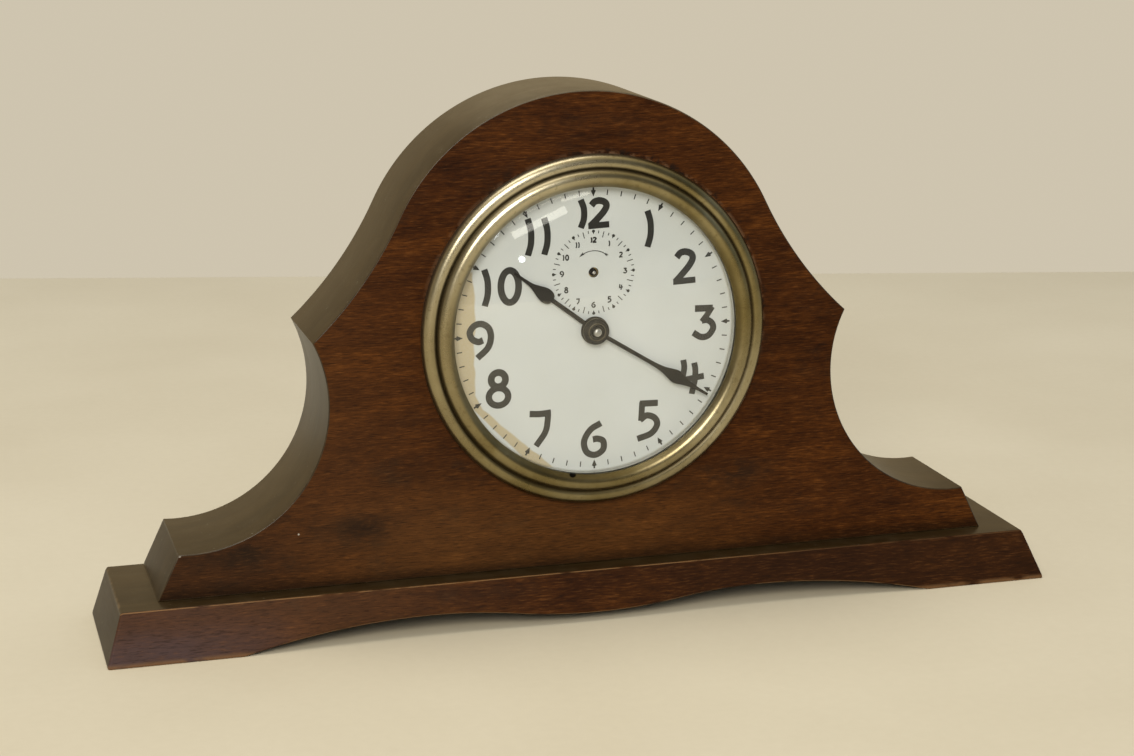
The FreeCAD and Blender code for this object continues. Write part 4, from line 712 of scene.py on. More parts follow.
def make_case():
    """The outline carried through the depth by a section that is straight with quarter-round edges."""
    outline = case_outline()
    step = inward(outline)
    turn = np.linspace(0, math.pi / 2, CASE_EDGE_STEPS)
    inset = CASE_EDGE * (1 - np.sin(turn))
    back = CASE_EDGE * (1 - np.cos(turn))
    inset = np.concatenate([inset, inset[::-1]])
    depth = np.concatenate([CASE_FRONT + back, CASE_BACK - back[::-1]])
    worn = np.concatenate([np.sin(2 * turn), np.sin(2 * turn)]) * CASE_WEAR
    closed = np.concatenate([outline, outline[:1]])
    run = np.concatenate([[0.0], np.cumsum(np.linalg.norm(np.diff(closed, axis=0), axis=1))])
    wide = np.concatenate([step, step[:1]])
    flat = closed[:, None, :] + wide[:, None, :] * inset[None, :, None]
    wall = upright(flat, depth[None, :])
    grain = np.stack(np.broadcast_arrays(run[:, None], depth[None, :]), axis=-1)
    case = Shape()
    case.add(wall, grid_faces(len(closed), len(depth)), grain=grain,
             edge=np.broadcast_to(worn, (len(closed), len(depth))).ravel(), finish=1)
    bore = ring(BORE_RADIUS, BORE_STEPS, (DIAL_X, DIAL_Z))
    rim = outline + step * CASE_EDGE
    sheet = np.concatenate([rim, bore])
    triangles = pierced(rim, bore)
    case.add(upright(sheet, CASE_FRONT), triangles, grain=sheet, finish=0)
    case.add(upright(sheet, CASE_BACK), triangles, grain=sheet, finish=2)
    tunnel = np.stack([upright(bore, CASE_FRONT), upright(bore, CASE_BACK)], axis=1)
    case.add(tunnel, grid_faces(len(bore), 2, closed_rows=True), finish=1)
    return case.piece("case", "root", "mahogany", [VENEER, SIDES, BACK_WOOD], "case_body")


def apron(x):
    """Height of the base's underside: feet at the ends, then a serpentine curve with a peak each side."""
    reach = np.abs(x)
    middle = APRON_CREST / 2
    outer_run = APRON_FOOT - APRON_CREST
    outer_radius = (outer_run ** 2 + APRON_PEAK ** 2) / (2 * APRON_PEAK)
    from_crest = (reach - APRON_CREST) ** 2
    outer = APRON_PEAK - outer_radius + np.sqrt(np.maximum(outer_radius ** 2 - from_crest, 0))
    half_drop = (APRON_PEAK - APRON_DROP) / 2
    bend = (middle ** 2 + half_drop ** 2) / (2 * half_drop)
    high = APRON_PEAK - bend + np.sqrt(np.maximum(bend ** 2 - from_crest, 0))
    low = APRON_DROP + bend - np.sqrt(np.maximum(bend ** 2 - reach ** 2, 0))
    inner = np.where(reach > middle, high, low)
    return np.where(reach > APRON_FOOT, 0.0, np.where(reach > APRON_CREST, outer, inner))


def soft_corners(corners, size, steps):
    """Each corner of a stack of polygons becomes a parabola between points a size along its two sides."""
    before = np.roll(corners, 1, axis=-2) - corners
    after = np.roll(corners, -1, axis=-2) - corners
    start = corners + size * before / np.linalg.norm(before, axis=-1, keepdims=True)
    end = corners + size * after / np.linalg.norm(after, axis=-1, keepdims=True)
    t = np.linspace(0, 1, steps)[:, None]
    start, middle, end = (p[..., None, :] for p in (start, corners, end))
    curve = (1 - t) ** 2 * start + 2 * t * (1 - t) * middle + t ** 2 * end
    return curve.reshape(*corners.shape[:-2], -1, 2)


def make_base():
    """A section with soft corners carried along x over the serpentine underside.

    The ends slope in towards the top and are rounded by drawing the section in.
    """
    turn = np.linspace(0, math.pi / 2, BASE_END_STEPS)
    end_x = BASE_HALF - BASE_EDGE * (1 - np.sin(turn))
    end_inset = BASE_EDGE * (1 - np.cos(turn))
    straight = BASE_HALF - BASE_EDGE - BASE_RUN_GAP
    inner = np.linspace(-straight, straight, BASE_RUN_STEPS)
    x = np.concatenate([-end_x[::-1], inner, end_x])
    inset = np.concatenate([end_inset[::-1], np.zeros(len(inner)), end_inset])
    low = apron(x) + inset
    high = BASE_HEIGHT - inset
    lean = BASE_FRONT_SLOPE / BASE_HEIGHT
    corners = np.stack([
        np.stack([BASE_FRONT + lean * low + inset, low], axis=-1),
        np.stack([BASE_FRONT + lean * high + inset, high], axis=-1),
        np.stack([CASE_BACK - inset, high], axis=-1),
        np.stack([CASE_BACK - inset, low], axis=-1),
    ], axis=1)
    steps = BASE_CORNER_STEPS
    section = soft_corners(corners, BASE_EDGE, steps)
    depth, up = section[..., 0], section[..., 1]
    near_end = np.clip((np.abs(x) - BASE_HALF + BASE_END_REACH) / BASE_END_REACH, 0, 1)
    squeeze = BASE_END_SLOPE * up / BASE_HEIGHT * near_end[:, None]
    across = x[:, None] - np.sign(x)[:, None] * squeeze
    points = np.stack([across, depth, up], axis=-1)
    count = section.shape[1]
    lengths = np.linalg.norm(np.diff(section, axis=1), axis=-1)
    around = np.pad(np.cumsum(lengths, axis=1), ((0, 0), (1, 0)))
    grain = np.stack([across, around], axis=-1)
    bow = np.sin(np.linspace(0, math.pi, steps))
    behind = bow * BASE_BACK_WEAR
    worn = np.tile(np.concatenate([bow, bow, behind, behind]), (len(x), 1))
    end_bow = np.sin(2 * turn)[:, None] * BASE_END_WEAR
    worn[:BASE_END_STEPS] = np.maximum(worn[:BASE_END_STEPS], end_bow[::-1])
    worn[-BASE_END_STEPS:] = np.maximum(worn[-BASE_END_STEPS:], end_bow)
    worn[[0, -1]] = 0.0
    strip = np.arange(count)
    front = strip < 2 * steps - 2
    back = (strip >= 2 * steps + 2) & (strip < 4 * steps - 3)
    finish = np.tile(np.where(front, 0, np.where(back, 2, 1)), len(x) - 1)
    base = Shape()
    base.add(points, grid_faces(len(x), count, closed_columns=True), grain=grain, edge=worn.ravel(),
             finish=finish)
    for end in (0, len(x) - 1):
        base.add(points[end], strip[None, :], grain=points[end][:, [1, 2]], finish=1)
    return base.piece("base", "root", "mahogany", [BASE_VENEER, SIDES, BACK_WOOD], "base_plinth")


def turned(profile, centre_x, centre_z, steps, closed=True):
    """A profile of (radius, depth from the case's front) carried round an axis along y.

    A closed profile joins its end to its start; an open one is shut by a flat face at each end.
    """
    profile = np.asarray(profile, float)
    angle = np.linspace(0, 2 * math.pi, steps, endpoint=False)
    radius, depth = profile[:, 0], profile[:, 1]
    points = np.stack([
        centre_x + np.cos(angle)[:, None] * radius,
        np.broadcast_to(CASE_FRONT + depth, (steps, len(profile))),
        centre_z + np.sin(angle)[:, None] * radius,
    ], axis=-1)
    faces = [grid_faces(steps, len(profile), closed_rows=True, closed_columns=closed)]
    if not closed:
        loop = np.arange(steps) * len(profile)
        faces += [loop[None, :], (loop + len(profile) - 1)[None, :]]
    return points, faces


def make_bezel():
    """Lip, two rolled beads that meet in a groove, and a skirt, turned about the dial's centre."""
    flip = np.array([1.0, -1.0])

    def bead(first, last):
        return arc(first * flip, last * flip, BEAD_RADIUS, BEAD_STEPS) * flip

    lip = -LIP_RISE
    lip_back = lip + LIP_THICKNESS
    seat = GLASS_RADIUS + GLASS_PLAY
    crest = (OPENING + LIP_SLOPE, lip - LIP_SLOPE)
    groove = (GROOVE_RADIUS, -GROOVE_RISE)
    rim = (BEZEL_RADIUS, 0.0)
    profile = np.concatenate([
        [(OPENING, lip_back)],
        np.array(LIP_ROUNDING) + [OPENING, lip],
        bead(crest, groove),
        bead(groove, rim),
        [rim, (SKIRT_RADIUS, 0.0), (SKIRT_RADIUS, SKIRT_DEPTH), (SKIRT_INSIDE, SKIRT_DEPTH)],
        [(SKIRT_INSIDE, GLASS_BACK), (seat, GLASS_BACK), (seat, lip_back)],
    ])
    bezel = Shape()
    bezel.turn(profile, BEZEL_STEPS)
    return bezel.piece("bezel_ring", "root", "nickel", [NICKEL], "bezel", crease=38.0)


def make_glass():
    """A thin watch glass: two parallel domes joined by a flat rim."""
    dome = (GLASS_EDGE ** 2 + GLASS_SAG ** 2) / (2 * GLASS_SAG)
    radius = np.linspace(GLASS_MIDDLE, GLASS_EDGE, GLASS_RINGS)
    rise = np.sqrt(dome ** 2 - radius ** 2) - (dome - GLASS_SAG)
    outer = np.stack([radius, GLASS_FRONT - rise], axis=-1)
    inner = np.stack([radius, GLASS_BACK - rise], axis=-1)[::-1]
    rim = np.array([[GLASS_RADIUS, GLASS_FRONT], [GLASS_RADIUS, GLASS_BACK]])
    glass = Shape()
    glass.turn(np.concatenate([outer, rim, inner]), GLASS_STEPS, closed=False)
    return glass.piece("dome_glass", "root", "glass", [GLASS], "crystal")


def smooth_line(points, steps=10):
    """A Catmull-Rom line through the points: each span blends its four neighbours by cubic weights."""
    points = np.asarray(points, float)
    if len(points) == 2:
        return points
    wide = np.concatenate([[2 * points[0] - points[1]], points, [2 * points[-1] - points[-2]]])
    t = np.linspace(0, 1, steps, endpoint=False)[None, :, None]
    a, b, c, d = (wide[i: len(wide) - 3 + i, None, :] for i in range(4))
    line = b + 0.5 * t * (c - a + t * (2 * a - 5 * b + 4 * c - d + t * (3 * (b - c) + d - a)))
    return np.concatenate([line.reshape(-1, 2), points[-1:]])


def ribbon(line, width, face, height, closed=False):
    """A low rectangle carried along a flat line: a printed stroke that stands a little proud of its face."""
    line = np.asarray(line, float)
    if closed:
        along = np.roll(line, -1, axis=0) - np.roll(line, 1, axis=0)
    else:
        along = np.gradient(line, axis=0)
    along /= np.linalg.norm(along, axis=1, keepdims=True)
    across = np.stack([-along[:, 1], along[:, 0]], axis=-1) * np.asarray(width)[..., None] / 2
    left, right = line + across, line - across
    top = face - height
    sides = [upright(left, face), upright(right, face), upright(right, top), upright(left, top)]
    points = np.stack(sides, axis=1)
    count = len(line)
    faces = [grid_faces(count, 4, closed_rows=closed, closed_columns=True)]
    if not closed:
        faces += [np.arange(4)[None, :], (np.arange(4) + 4 * (count - 1))[None, :]]
    return points, faces


def flat_marks(outline, places, face, height):
    """Copies of a low flat mark: its outline is set on each place's own centre and two axes."""
    outline = np.asarray(outline, float)
    centre, across, outward = (np.asarray(p, float)[:, None, :] for p in places)
    flat = centre + across * outline[None, :, :1] + outward * outline[None, :, 1:]
    count, sides = flat.shape[:2]
    points = np.stack([upright(flat, face), upright(flat, face - height)], axis=1)
    start = (np.arange(count) * 2 * sides)[:, None]
    side = np.arange(sides)
    ahead = (side + 1) % sides
    quads = np.stack([side, ahead, ahead + sides, side + sides], axis=-1)[None] + start[..., None]
    caps = np.concatenate([start + side, start + side + sides])
    return points, [quads.reshape(-1, 4), caps]


def clockwise(turns):
    """Directions (across, up) at angles in degrees clockwise from the top."""
    angle = np.radians(turns)
    return np.stack([np.sin(angle), np.cos(angle)], axis=-1)


def spokes(turns, middle=(0.0, 0.0)):
    """Centres and axes of marks that stand round a point, at clockwise angles from the top."""
    outward = clockwise(turns)
    across = outward[:, ::-1] * np.array([1.0, -1.0])
    return np.broadcast_to(middle, outward.shape), across, outward


def round_line(radius_x, radius_z, centre, steps=48):
    """An ellipse's points."""
    return ring(1.0, steps) * np.array([radius_x, radius_z]) + np.asarray(centre)


# strokes of each numeral as (width, points), from its own centre, for a numeral about 13 tall
STROKES = {
    "1": [(2.25, [(-0.65, 6.4), (0.35, 3.0), (0.6, 0.0), (0.35, -3.0), (-0.65, -6.4)])],
    "2": [(2.4, [(-2.95, 3.3), (-1.6, 4.85), (0.4, 5.2), (2.4, 4.3), (2.9, 2.6), (1.7, 0.3), (-0.7, -2.5),
                 (-3.3, -5.2)]),
          (2.2, [(-4.2, -5.3), (4.0, -4.95)])],
    "3": [(2.4, [(-3.3, 5.2), (3.3, 5.05)]),
          (2.2, [(3.1, 5.6), (1.2, 2.7), (-0.7, 0.3)]),
          (2.3, [(-0.7, 0.75), (1.3, 0.85), (3.1, -0.5), (3.4, -2.5), (1.6, -4.8), (-1.1, -5.1),
                 (-3.9, -3.4)])],
    "4": [(2.2, [(-3.1, 6.2), (-2.75, 3.2), (-3.5, -0.9)]),
          (2.2, [(-4.4, -1.3), (4.6, -0.1)]),
          (2.2, [(0.95, 4.9), (1.4, 2.3), (1.2, -1.6), (0.05, -6.4)])],
    "5": [(2.3, [(3.6, 6.0), (-3.1, 6.15)]),
          (2.2, [(-2.2, 6.6), (-2.6, -0.1)]),
          (2.3, [(-3.0, 0.2), (-0.5, 1.7), (2.4, 0.6), (3.3, -2.0), (1.0, -5.0), (-4.0, -6.6)])],
    "6": [(2.3, [(2.2, 5.7), (-1.7, 3.5), (-4.0, -0.5), (-3.1, -4.4), (0.0, -5.7), (2.9, -4.0), (3.0, -1.0),
                 (0.9, 0.1), (-0.8, -0.1)])],
    "7": [(2.3, [(-3.8, 5.4), (0.0, 5.15), (3.9, 5.4)]),
          (2.2, [(2.85, 5.9), (2.7, 2.7), (1.8, -1.5), (-1.6, -6.3)])],
    "9": [(2.3, [(0.8, 0.1), (-0.9, -0.4), (-3.1, 0.8), (-3.8, 3.2), (-2.1, 5.4), (0.5, 5.8), (2.9, 4.1),
                 (3.6, 0.9), (2.4, -2.8), (-1.3, -6.1)])],
}
# closed strokes as (width, radius across, radius up, centre)
RINGS = {
    "8": [(2.45, 2.55, 2.55, (0.0, 3.35)), (2.3, 3.45, 3.1, (0.0, -2.75))],
    "0": [(2.4, 3.15, 5.6, (0.0, 0.0))],
}


# figures of each hour as (figure, step to the right, width share, height share)
HOURS = {hour: [(str(hour), 0.0, 1.0, 1.0)] for hour in range(1, 10)}
HOURS[10] = [("1", -5.9, 1.0, 1.0), ("0", 2.4, 1.0, 1.0)]
HOURS[11] = [("1", -2.9, 1.0, 1.0), ("1", 2.9, 1.0, 1.0)]
HOURS[12] = [("1", -3.9, 1.0, 0.77), ("2", 2.0, 0.92, 0.83)]

# each hour's distance from the dial's centre, then a small step across and up
HOUR_PLACE = {
    1: (39.9, 0.2, 0.0), 2: (38.9, -0.5, 1.1), 3: (40.4, 0.0, 0.0), 4: (41.2, 0.3, 1.4),
    5: (39.4, 0.2, 0.2), 6: (39.4, 0.3, 0.0), 7: (39.2, 0.0, 0.0), 8: (39.0, -0.7, 0.7),
    9: (40.5, 0.0, -1.25), 10: (37.4, 0.0, -1.6), 11: (39.1, -0.35, 0.0), 12: (41.0, 0.0, 0.0),
}
HOUR_TURN = 30.0
EVERY_HOUR = np.arange(12) * HOUR_TURN
HALVES = EVERY_HOUR + 15.0
QUARTERS = (EVERY_HOUR[:, None] + [7.5, 22.5]).ravel()
MINUTES = [6.0 * minute for minute in range(60) if minute % 5]
ALARM_CENTRE = np.array([0.0, ALARM_UP])
ALARM_NUMERAL_RADIUS = 11.4
ALARM_NUMERAL_SIZE = 0.155
ALARM_TWELVE = 1.2
ALARM_WEIGHT = 1.3
ALARM_ARROW_RADIUS = 7.6
ALARM_ARROW_WIDTH = 0.26
ALARM_ARROW_STEPS = 40
ALARM_ARROW_NECK = -34.0
ALARM_ARROW_POINT = -39.0
ALARM_ARROW_VANES = (33.0, 36.0, 39.0)

# marks as (across, distance from their dial's centre)
KITE = [(0.0, 46.8), (0.9, 48.9), (0.3, 49.2), (0.3, 50.0), (-0.3, 50.0), (-0.3, 49.2), (-0.9, 48.9)]
DROP = [(0.0, 13.3), (0.22, 13.9), (0.55, 14.35), (0.5, 14.75), (0.2, 14.95), (-0.2, 14.95), (-0.5, 14.75),
        (-0.55, 14.35), (-0.22, 13.9)]
ARROW_HEAD = [(-0.6, 7.6), (1.7, 8.1), (1.2, 7.6), (1.7, 7.1)]
ARROW_VANE = [(-0.15, 7.6), (0.3, 8.0), (0.5, 7.95), (0.15, 7.6), (0.5, 7.25), (0.3, 7.2)]


def oblong(half, near, far):
    """A rectangle of a half width about an axis, between two distances along it."""
    return [(-half, near), (half, near), (half, far), (-half, far)]


def on_clock(surface):
    """A surface about the dial's centre moved to its place on the clock, as its points and then its faces."""
    points, faces = surface
    return (points + np.array([DIAL_X, CASE_FRONT, DIAL_Z]), *faces)


def print_line(shape, line, width, level=0, closed=False):
    """Prints a stroke; each level lies a little prouder, so that strokes may cross."""
    shape.add(*on_clock(ribbon(line, width, DIAL_FACE, INK_HEIGHT + level * INK_STEP, closed)))


def print_marks(shape, outline, turns, middle=(0.0, 0.0)):
    """Prints a mark at each clockwise angle about a point of the dial."""
    shape.add(*on_clock(flat_marks(outline, spokes(turns, middle), DIAL_FACE, INK_HEIGHT)))


def print_numeral(shape, digits, centre, size, weight=1.0):
    """Prints an hour's figures about a centre, with their strokes scaled by size and thickened by weight."""
    level = 0
    for figure, step, wide, tall in digits:
        scale = np.array([wide, tall]) * size
        middle = np.asarray(centre) + np.array([step * size, 0.0])
        strokes = [(width, smooth_line(np.asarray(points) * scale), False)
                   for width, points in STROKES.get(figure, [])]
        strokes += [(width, round_line(radius_x, radius_z, place) * scale, True)
                    for width, radius_x, radius_z, place in RINGS.get(figure, [])]
        for width, line, closed in strokes:
            print_line(shape, line + middle, width * size * weight, level, closed)
            level += 1


def make_dial_print():
    """Hour numerals, and a minute track of plain ticks with a kite at each hour."""
    numerals = Shape()
    for hour, digits in HOURS.items():
        radius, across, up = HOUR_PLACE[hour]
        print_numeral(numerals, digits, radius * clockwise(HOUR_TURN * hour) + (across, up), 1.0)
    numerals.piece("hour_numerals", "root", "black_paint", [INK])

    track = Shape()
    print_marks(track, oblong(0.19, 47.4, 49.3), MINUTES)
    print_marks(track, KITE, EVERY_HOUR)
    track.piece("minute_track", "root", "black_paint", [INK])


def make_alarm_print():
    """The small alarm dial: drops, ticks and numerals for its hours, and an arrow for the way it is set."""
    alarm = Shape()
    print_marks(alarm, DROP, EVERY_HOUR, ALARM_CENTRE)
    print_marks(alarm, oblong(0.15, 12.5, 14.7), HALVES, ALARM_CENTRE)
    print_marks(alarm, oblong(0.15, 13.7, 14.7), QUARTERS, ALARM_CENTRE)
    for hour, digits in HOURS.items():
        centre = ALARM_CENTRE + ALARM_NUMERAL_RADIUS * clockwise(HOUR_TURN * hour)
        size = ALARM_NUMERAL_SIZE * (ALARM_TWELVE if hour == 12 else 1.0)
        print_numeral(alarm, digits, centre, size, ALARM_WEIGHT)
    sweep = np.linspace(ALARM_ARROW_NECK, ALARM_ARROW_VANES[-1], ALARM_ARROW_STEPS)
    bow = ALARM_CENTRE + ALARM_ARROW_RADIUS * clockwise(sweep)
    print_line(alarm, bow, ALARM_ARROW_WIDTH)
    print_marks(alarm, ARROW_HEAD, [ALARM_ARROW_POINT], ALARM_CENTRE)
    print_marks(alarm, ARROW_VANE, ALARM_ARROW_VANES, ALARM_CENTRE)
    alarm.piece("alarm_dial_print", "root", "black_paint", [INK])


# each hand's full width at distances from the centre
MINUTE_HAND = [(2.0, 1.45), (10.0, 1.45), (18.0, 1.4), (24.0, 1.45), (27.0, 1.75), (29.6, 2.45), (32.3, 3.9),
               (34.4, 4.8), (36.2, 4.2), (37.8, 3.2), (41.0, 1.8), (44.0, 1.2), (48.3, 0.95)]
HOUR_HAND = [(2.0, 1.6), (12.0, 1.6), (18.8, 1.6), (19.2, 2.8), (19.8, 4.0), (20.8, 4.9), (22.2, 5.2),
             (24.0, 4.5), (26.0, 3.05), (28.0, 1.8), (30.0, 1.3), (33.0, 1.05), (36.0, 0.85)]
HAND_THICKNESS = 0.4
HAND_BEVEL = 0.22
HAND_BEVEL_SHARE = 0.4
HAND_SECTION = np.array([1.0, 0.45, 0.0, 0.0, 0.45, 1.0])
HOUR_HAND_FRONT = -0.6
MINUTE_HAND_FRONT = -2.0
HAND_SPAN_STEPS = 8
BOSS_BEHIND = 0.02
BOSS_PROUD = 0.03
BOSS_BEVEL = 0.15
BOSS_STEPS = 96

# hub and arbor ends as (radius, depth), and the bands of the hub where brass shows
HUB_COLLAR = [(1.45, 0.0), (4.7, 0.0), (4.7, -0.3), (4.6, -0.43), (4.25, -0.5), (4.0, -0.62), (3.85, -0.85),
              (3.6, -1.22), (3.2, -1.48), (2.75, -1.57), (2.4, -1.5), (2.25, -1.2), (2.2, -0.9),
              (1.45, -0.85)]
HUB_STEPS = 128
HUB_SUNK = 0.04
TIP_STEPS = 64
RUBBED_BANDS = (1, 2, 8, 10, 11)
ARBOR_TIP = [(0.25, -2.66), (0.7, -2.58), (1.1, -2.38), (1.34, -2.1), (1.43, -1.8), (1.43, -0.9)]
ALARM_TIP = [(0.12, -0.02), (0.35, 0.02), (0.55, 0.12), (0.62, 0.25), (0.62, 0.5)]
ALARM_TIP_STEPS = 48


def make_hand(name, widths, boss, bore, turn, front, body, node):
    """A flat section with bevelled edges carried up the hand, as wide as the list says, and a round boss."""
    radius, width = smooth_line(widths, HAND_SPAN_STEPS).T
    half = width / 2
    bevel = np.minimum(half * HAND_BEVEL_SHARE, HAND_BEVEL)
    across = np.stack([-half, -half, bevel - half, half - bevel, half, half], axis=-1)
    depth = front + HAND_THICKNESS * HAND_SECTION
    c, s = math.cos(math.radians(turn)), math.sin(math.radians(turn))
    along = radius[:, None]
    flat = np.stack([across * c + along * s, along * c - across * s], axis=-1)
    blade = upright(flat, np.broadcast_to(depth, across.shape))
    corners = len(HAND_SECTION)
    sides = grid_faces(len(radius), corners, closed_columns=True)
    cap = np.arange(corners)[None, :]
    hand = Shape()
    hand.add(*on_clock((blade, [sides, cap, cap + corners * (len(radius) - 1)])))
    back = front + HAND_THICKNESS + BOSS_BEHIND
    proud = front - BOSS_PROUD
    shoulder = proud + BOSS_BEVEL
    rim = [(bore, back), (boss, back), (boss, shoulder), (boss - BOSS_BEVEL, proud), (bore, proud)]
    hand.turn(rim, BOSS_STEPS)
    return hand.piece(name, body, "black_paint", [LACQUER], node, crease=25.0)


def make_hub():
    """The nut over the hands, turned with a rolled collar and a hollow round the arbor's rounded end."""
    bands = np.where(np.isin(np.arange(len(HUB_COLLAR)), RUBBED_BANDS), 2, 0)
    collar = np.array(HUB_COLLAR) + [0.0, MINUTE_HAND_FRONT - HUB_SUNK]
    tip = np.array(ARBOR_TIP) + [0.0, MINUTE_HAND_FRONT]
    hub = Shape()
    hub.turn(collar, HUB_STEPS, finish=np.tile(bands, HUB_STEPS))
    hub.turn(tip, TIP_STEPS, closed=False, finish=1)
    finishes = [LACQUER, STEEL, DULL_BRASS]
    return hub.piece("hand_cap_nut", "hand_arbor", "black_paint", finishes, "hand_nut", crease=30.0)


def make_alarm_tip():
    """The bright rounded end of the alarm arbor, low in its hole in the dial."""
    tip = Shape()
    tip.turn(ALARM_TIP, ALARM_TIP_STEPS, up=ALARM_UP, closed=False)
    return tip.piece("alarm_arbor_end", "alarm_setting", "steel", [STEEL], crease=30.0)


# screws on the back, and how they are cut
FLANGE_CIRCLE = (FLANGE_RADIUS + BORE_RADIUS) / 2
COVER_CIRCLE = 36.0
HEAD_EDGE = 0.985
HEAD_RIM_SHARE = 0.45
HEAD_ROWS = 17
HEAD_COLUMNS = 9
SLOT_WALL = 0.004
SLOT_FLOOR_SHARE = 0.2

# turning arrows on the back cover: centre, radius, first and last angle clockwise from the top
BACK_ARROWS = [
    (-18.19, -10.5, 12.4, -48.0, 40.0), (18.51, -12.96, 12.4, -48.0, 40.0), (0.0, 0.0, 8.2, -38.0, 34.0),
    (0.0, ALARM_UP, 7.4, -38.0, 34.0),
]
REGULATOR_MARKS = [
    [(5.4, 41.4), (8.4, 41.4)], [(-11.6, 41.4), (-8.6, 41.4)], [(-10.1, 39.9), (-10.1, 42.9)],
]
COVER_BEAD = [(46.9, 0.0), (47.2, 0.28), (47.6, 0.42), (48.0, 0.42), (48.4, 0.28), (48.7, 0.0)]
RELIEF_WIDTH = 0.8
RELIEF_HEIGHT = 0.32
ARROW_HALF = 1.25
ARROW_LENGTH = 2.5
ARROW_OVERLAP = 0.1
ARROW_STEPS = 32
COVER_BEAD_STEPS = 192


def on_circle(radius, angles, turns):
    """Places on a circle about the dial's centre, with how far each slot is turned."""
    around = np.radians(angles)
    across, up = DIAL_X + radius * np.cos(around), DIAL_Z + radius * np.sin(around)
    return np.stack([across, up, np.radians(turns)], axis=-1)


def make_screws(name, node, radius, height, seat, slot_width, slot_depth, places):
    """Domed screw heads on a grid of straight columns, each column as long as the circle is there.

    The columns at the slot's walls are doubled, so the slot is cut with upright sides.
    """
    half = slot_width / 2 / radius
    floor = half - 2 * SLOT_WALL
    column = np.concatenate([
        np.linspace(-HEAD_EDGE, -half, HEAD_COLUMNS), [SLOT_WALL - half], np.linspace(-floor, floor, 3),
        [half - SLOT_WALL], np.linspace(half, HEAD_EDGE, HEAD_COLUMNS),
    ])[:, None]
    share = np.linspace(-1, 1, HEAD_ROWS)
    across = column * np.ones(HEAD_ROWS)
    along = share * np.sqrt(1 - column ** 2)
    reach = np.minimum(np.hypot(across, along), 1.0)
    dome = np.sqrt(np.maximum(1 - reach ** 2, 0))
    crown = height * (HEAD_RIM_SHARE + (1 - HEAD_RIM_SHARE) * dome)
    cut = np.where(np.abs(column) < half - SLOT_WALL / 2, slot_depth, 0.0)
    lift = np.maximum(crown - cut, height * SLOT_FLOOR_SHARE)
    rows, columns = across.shape
    index = np.arange(rows * columns).reshape(rows, columns)
    border = np.concatenate([index[:, 0], index[-1, 1:], index[-2::-1, -1], index[0, -2:0:-1]])
    count = len(border)
    under = (np.arange(count) + count)[None, :]
    heads = Shape()
    for x, z, turn in places:
        c, s = math.cos(turn), math.sin(turn)
        flat_x = x + radius * (across * c - along * s)
        flat_z = z + radius * (across * s + along * c)
        top = np.stack([flat_x, CASE_FRONT + seat + lift, flat_z], axis=-1).reshape(-1, 3)
        foot = top[border].copy()
        foot[:, 1] = CASE_FRONT + seat
        heads.add(top, grid_faces(rows, columns))
        heads.add(np.concatenate([top[border], foot]), grid_faces(2, count, closed_columns=True), under)
    return heads.piece(name, "root", "plated_steel", [KNOB_PLATED], node)


def make_back_relief():
    """Raised work on the back cover: a rolled ring, turning arrows, and fast and slow marks."""
    relief = Shape()
    relief.turn(np.array(COVER_BEAD) + [0.0, COVER_REAR], COVER_BEAD_STEPS)
    for x, z, radius, first, last in BACK_ARROWS:
        bow = (x, z) + radius * clockwise(np.linspace(first, last, ARROW_STEPS))
        relief.add(*on_clock(ribbon(bow, RELIEF_WIDTH, COVER_REAR, -RELIEF_HEIGHT)), finish=1)
        inside, outside = radius - ARROW_HALF, radius + ARROW_HALF
        head = [(-ARROW_OVERLAP, inside), (ARROW_LENGTH, radius), (-ARROW_OVERLAP, outside)]
        mark = flat_marks(head, spokes([last], (x, z)), COVER_REAR, -RELIEF_HEIGHT - INK_STEP)
        relief.add(*on_clock(mark), finish=1)
    for line in REGULATOR_MARKS:
        relief.add(*on_clock(ribbon(line, RELIEF_WIDTH, COVER_REAR, -RELIEF_HEIGHT)), finish=1)
    return relief.piece("back_cover_relief", "root", "plated_steel", [COVER_PLATED, INK], crease=30.0)


def make_knob(name, radius, up, ribs, body, node):
    """A knurled knob: its turned profile's radius swells in ribs on the two bands either side of a groove."""
    waist = radius - KNOB_GROOVE
    middle = (KNOB_FRONT + KNOB_REAR) / 2
    profile = np.array([
        [KNOB_BORE, KNOB_FRONT], [waist, KNOB_FRONT], [radius - 0.15, KNOB_FRONT + 0.55],
        [radius, KNOB_FRONT + 0.8], [radius, middle - 0.45], [radius - 0.12, middle - 0.35],
        [waist, middle - 0.1], [waist, middle + 0.1],
        [radius - 0.12, middle + 0.35], [radius, middle + 0.45], [radius, KNOB_REAR - 0.8],
        [radius - 0.15, KNOB_REAR - 0.5], [waist, KNOB_REAR - 0.05], [waist - 0.4, KNOB_REAR],
        [waist - 0.9, KNOB_REAR - 0.1], [waist - 1.2, KNOB_REAR - 0.35], [0.5, KNOB_REAR - 0.35],
    ])
    steps = ribs * KNOB_STEPS_PER_RIB
    points, faces = turned(profile, 0.0, 0.0, steps, closed=False)
    angle = np.linspace(0, 2 * math.pi, steps, endpoint=False)
    rib = 1 - np.abs(np.cos(angle * ribs / 2))
    outer = np.clip((profile[:, 0] - waist - 0.4) / 0.3, 0, 1)
    cut = 1 - KNOB_RIB_DEPTH / radius * rib[:, None] * outer[None, :]
    points[..., 0] *= cut
    points[..., 2] *= cut
    points += np.array([DIAL_X, 0.0, DIAL_Z + up])
    knob = Shape()
    knob.add(points, *faces)
    return knob.piece(name, body, "plated_steel", [KNOB_PLATED], node, crease=30.0)


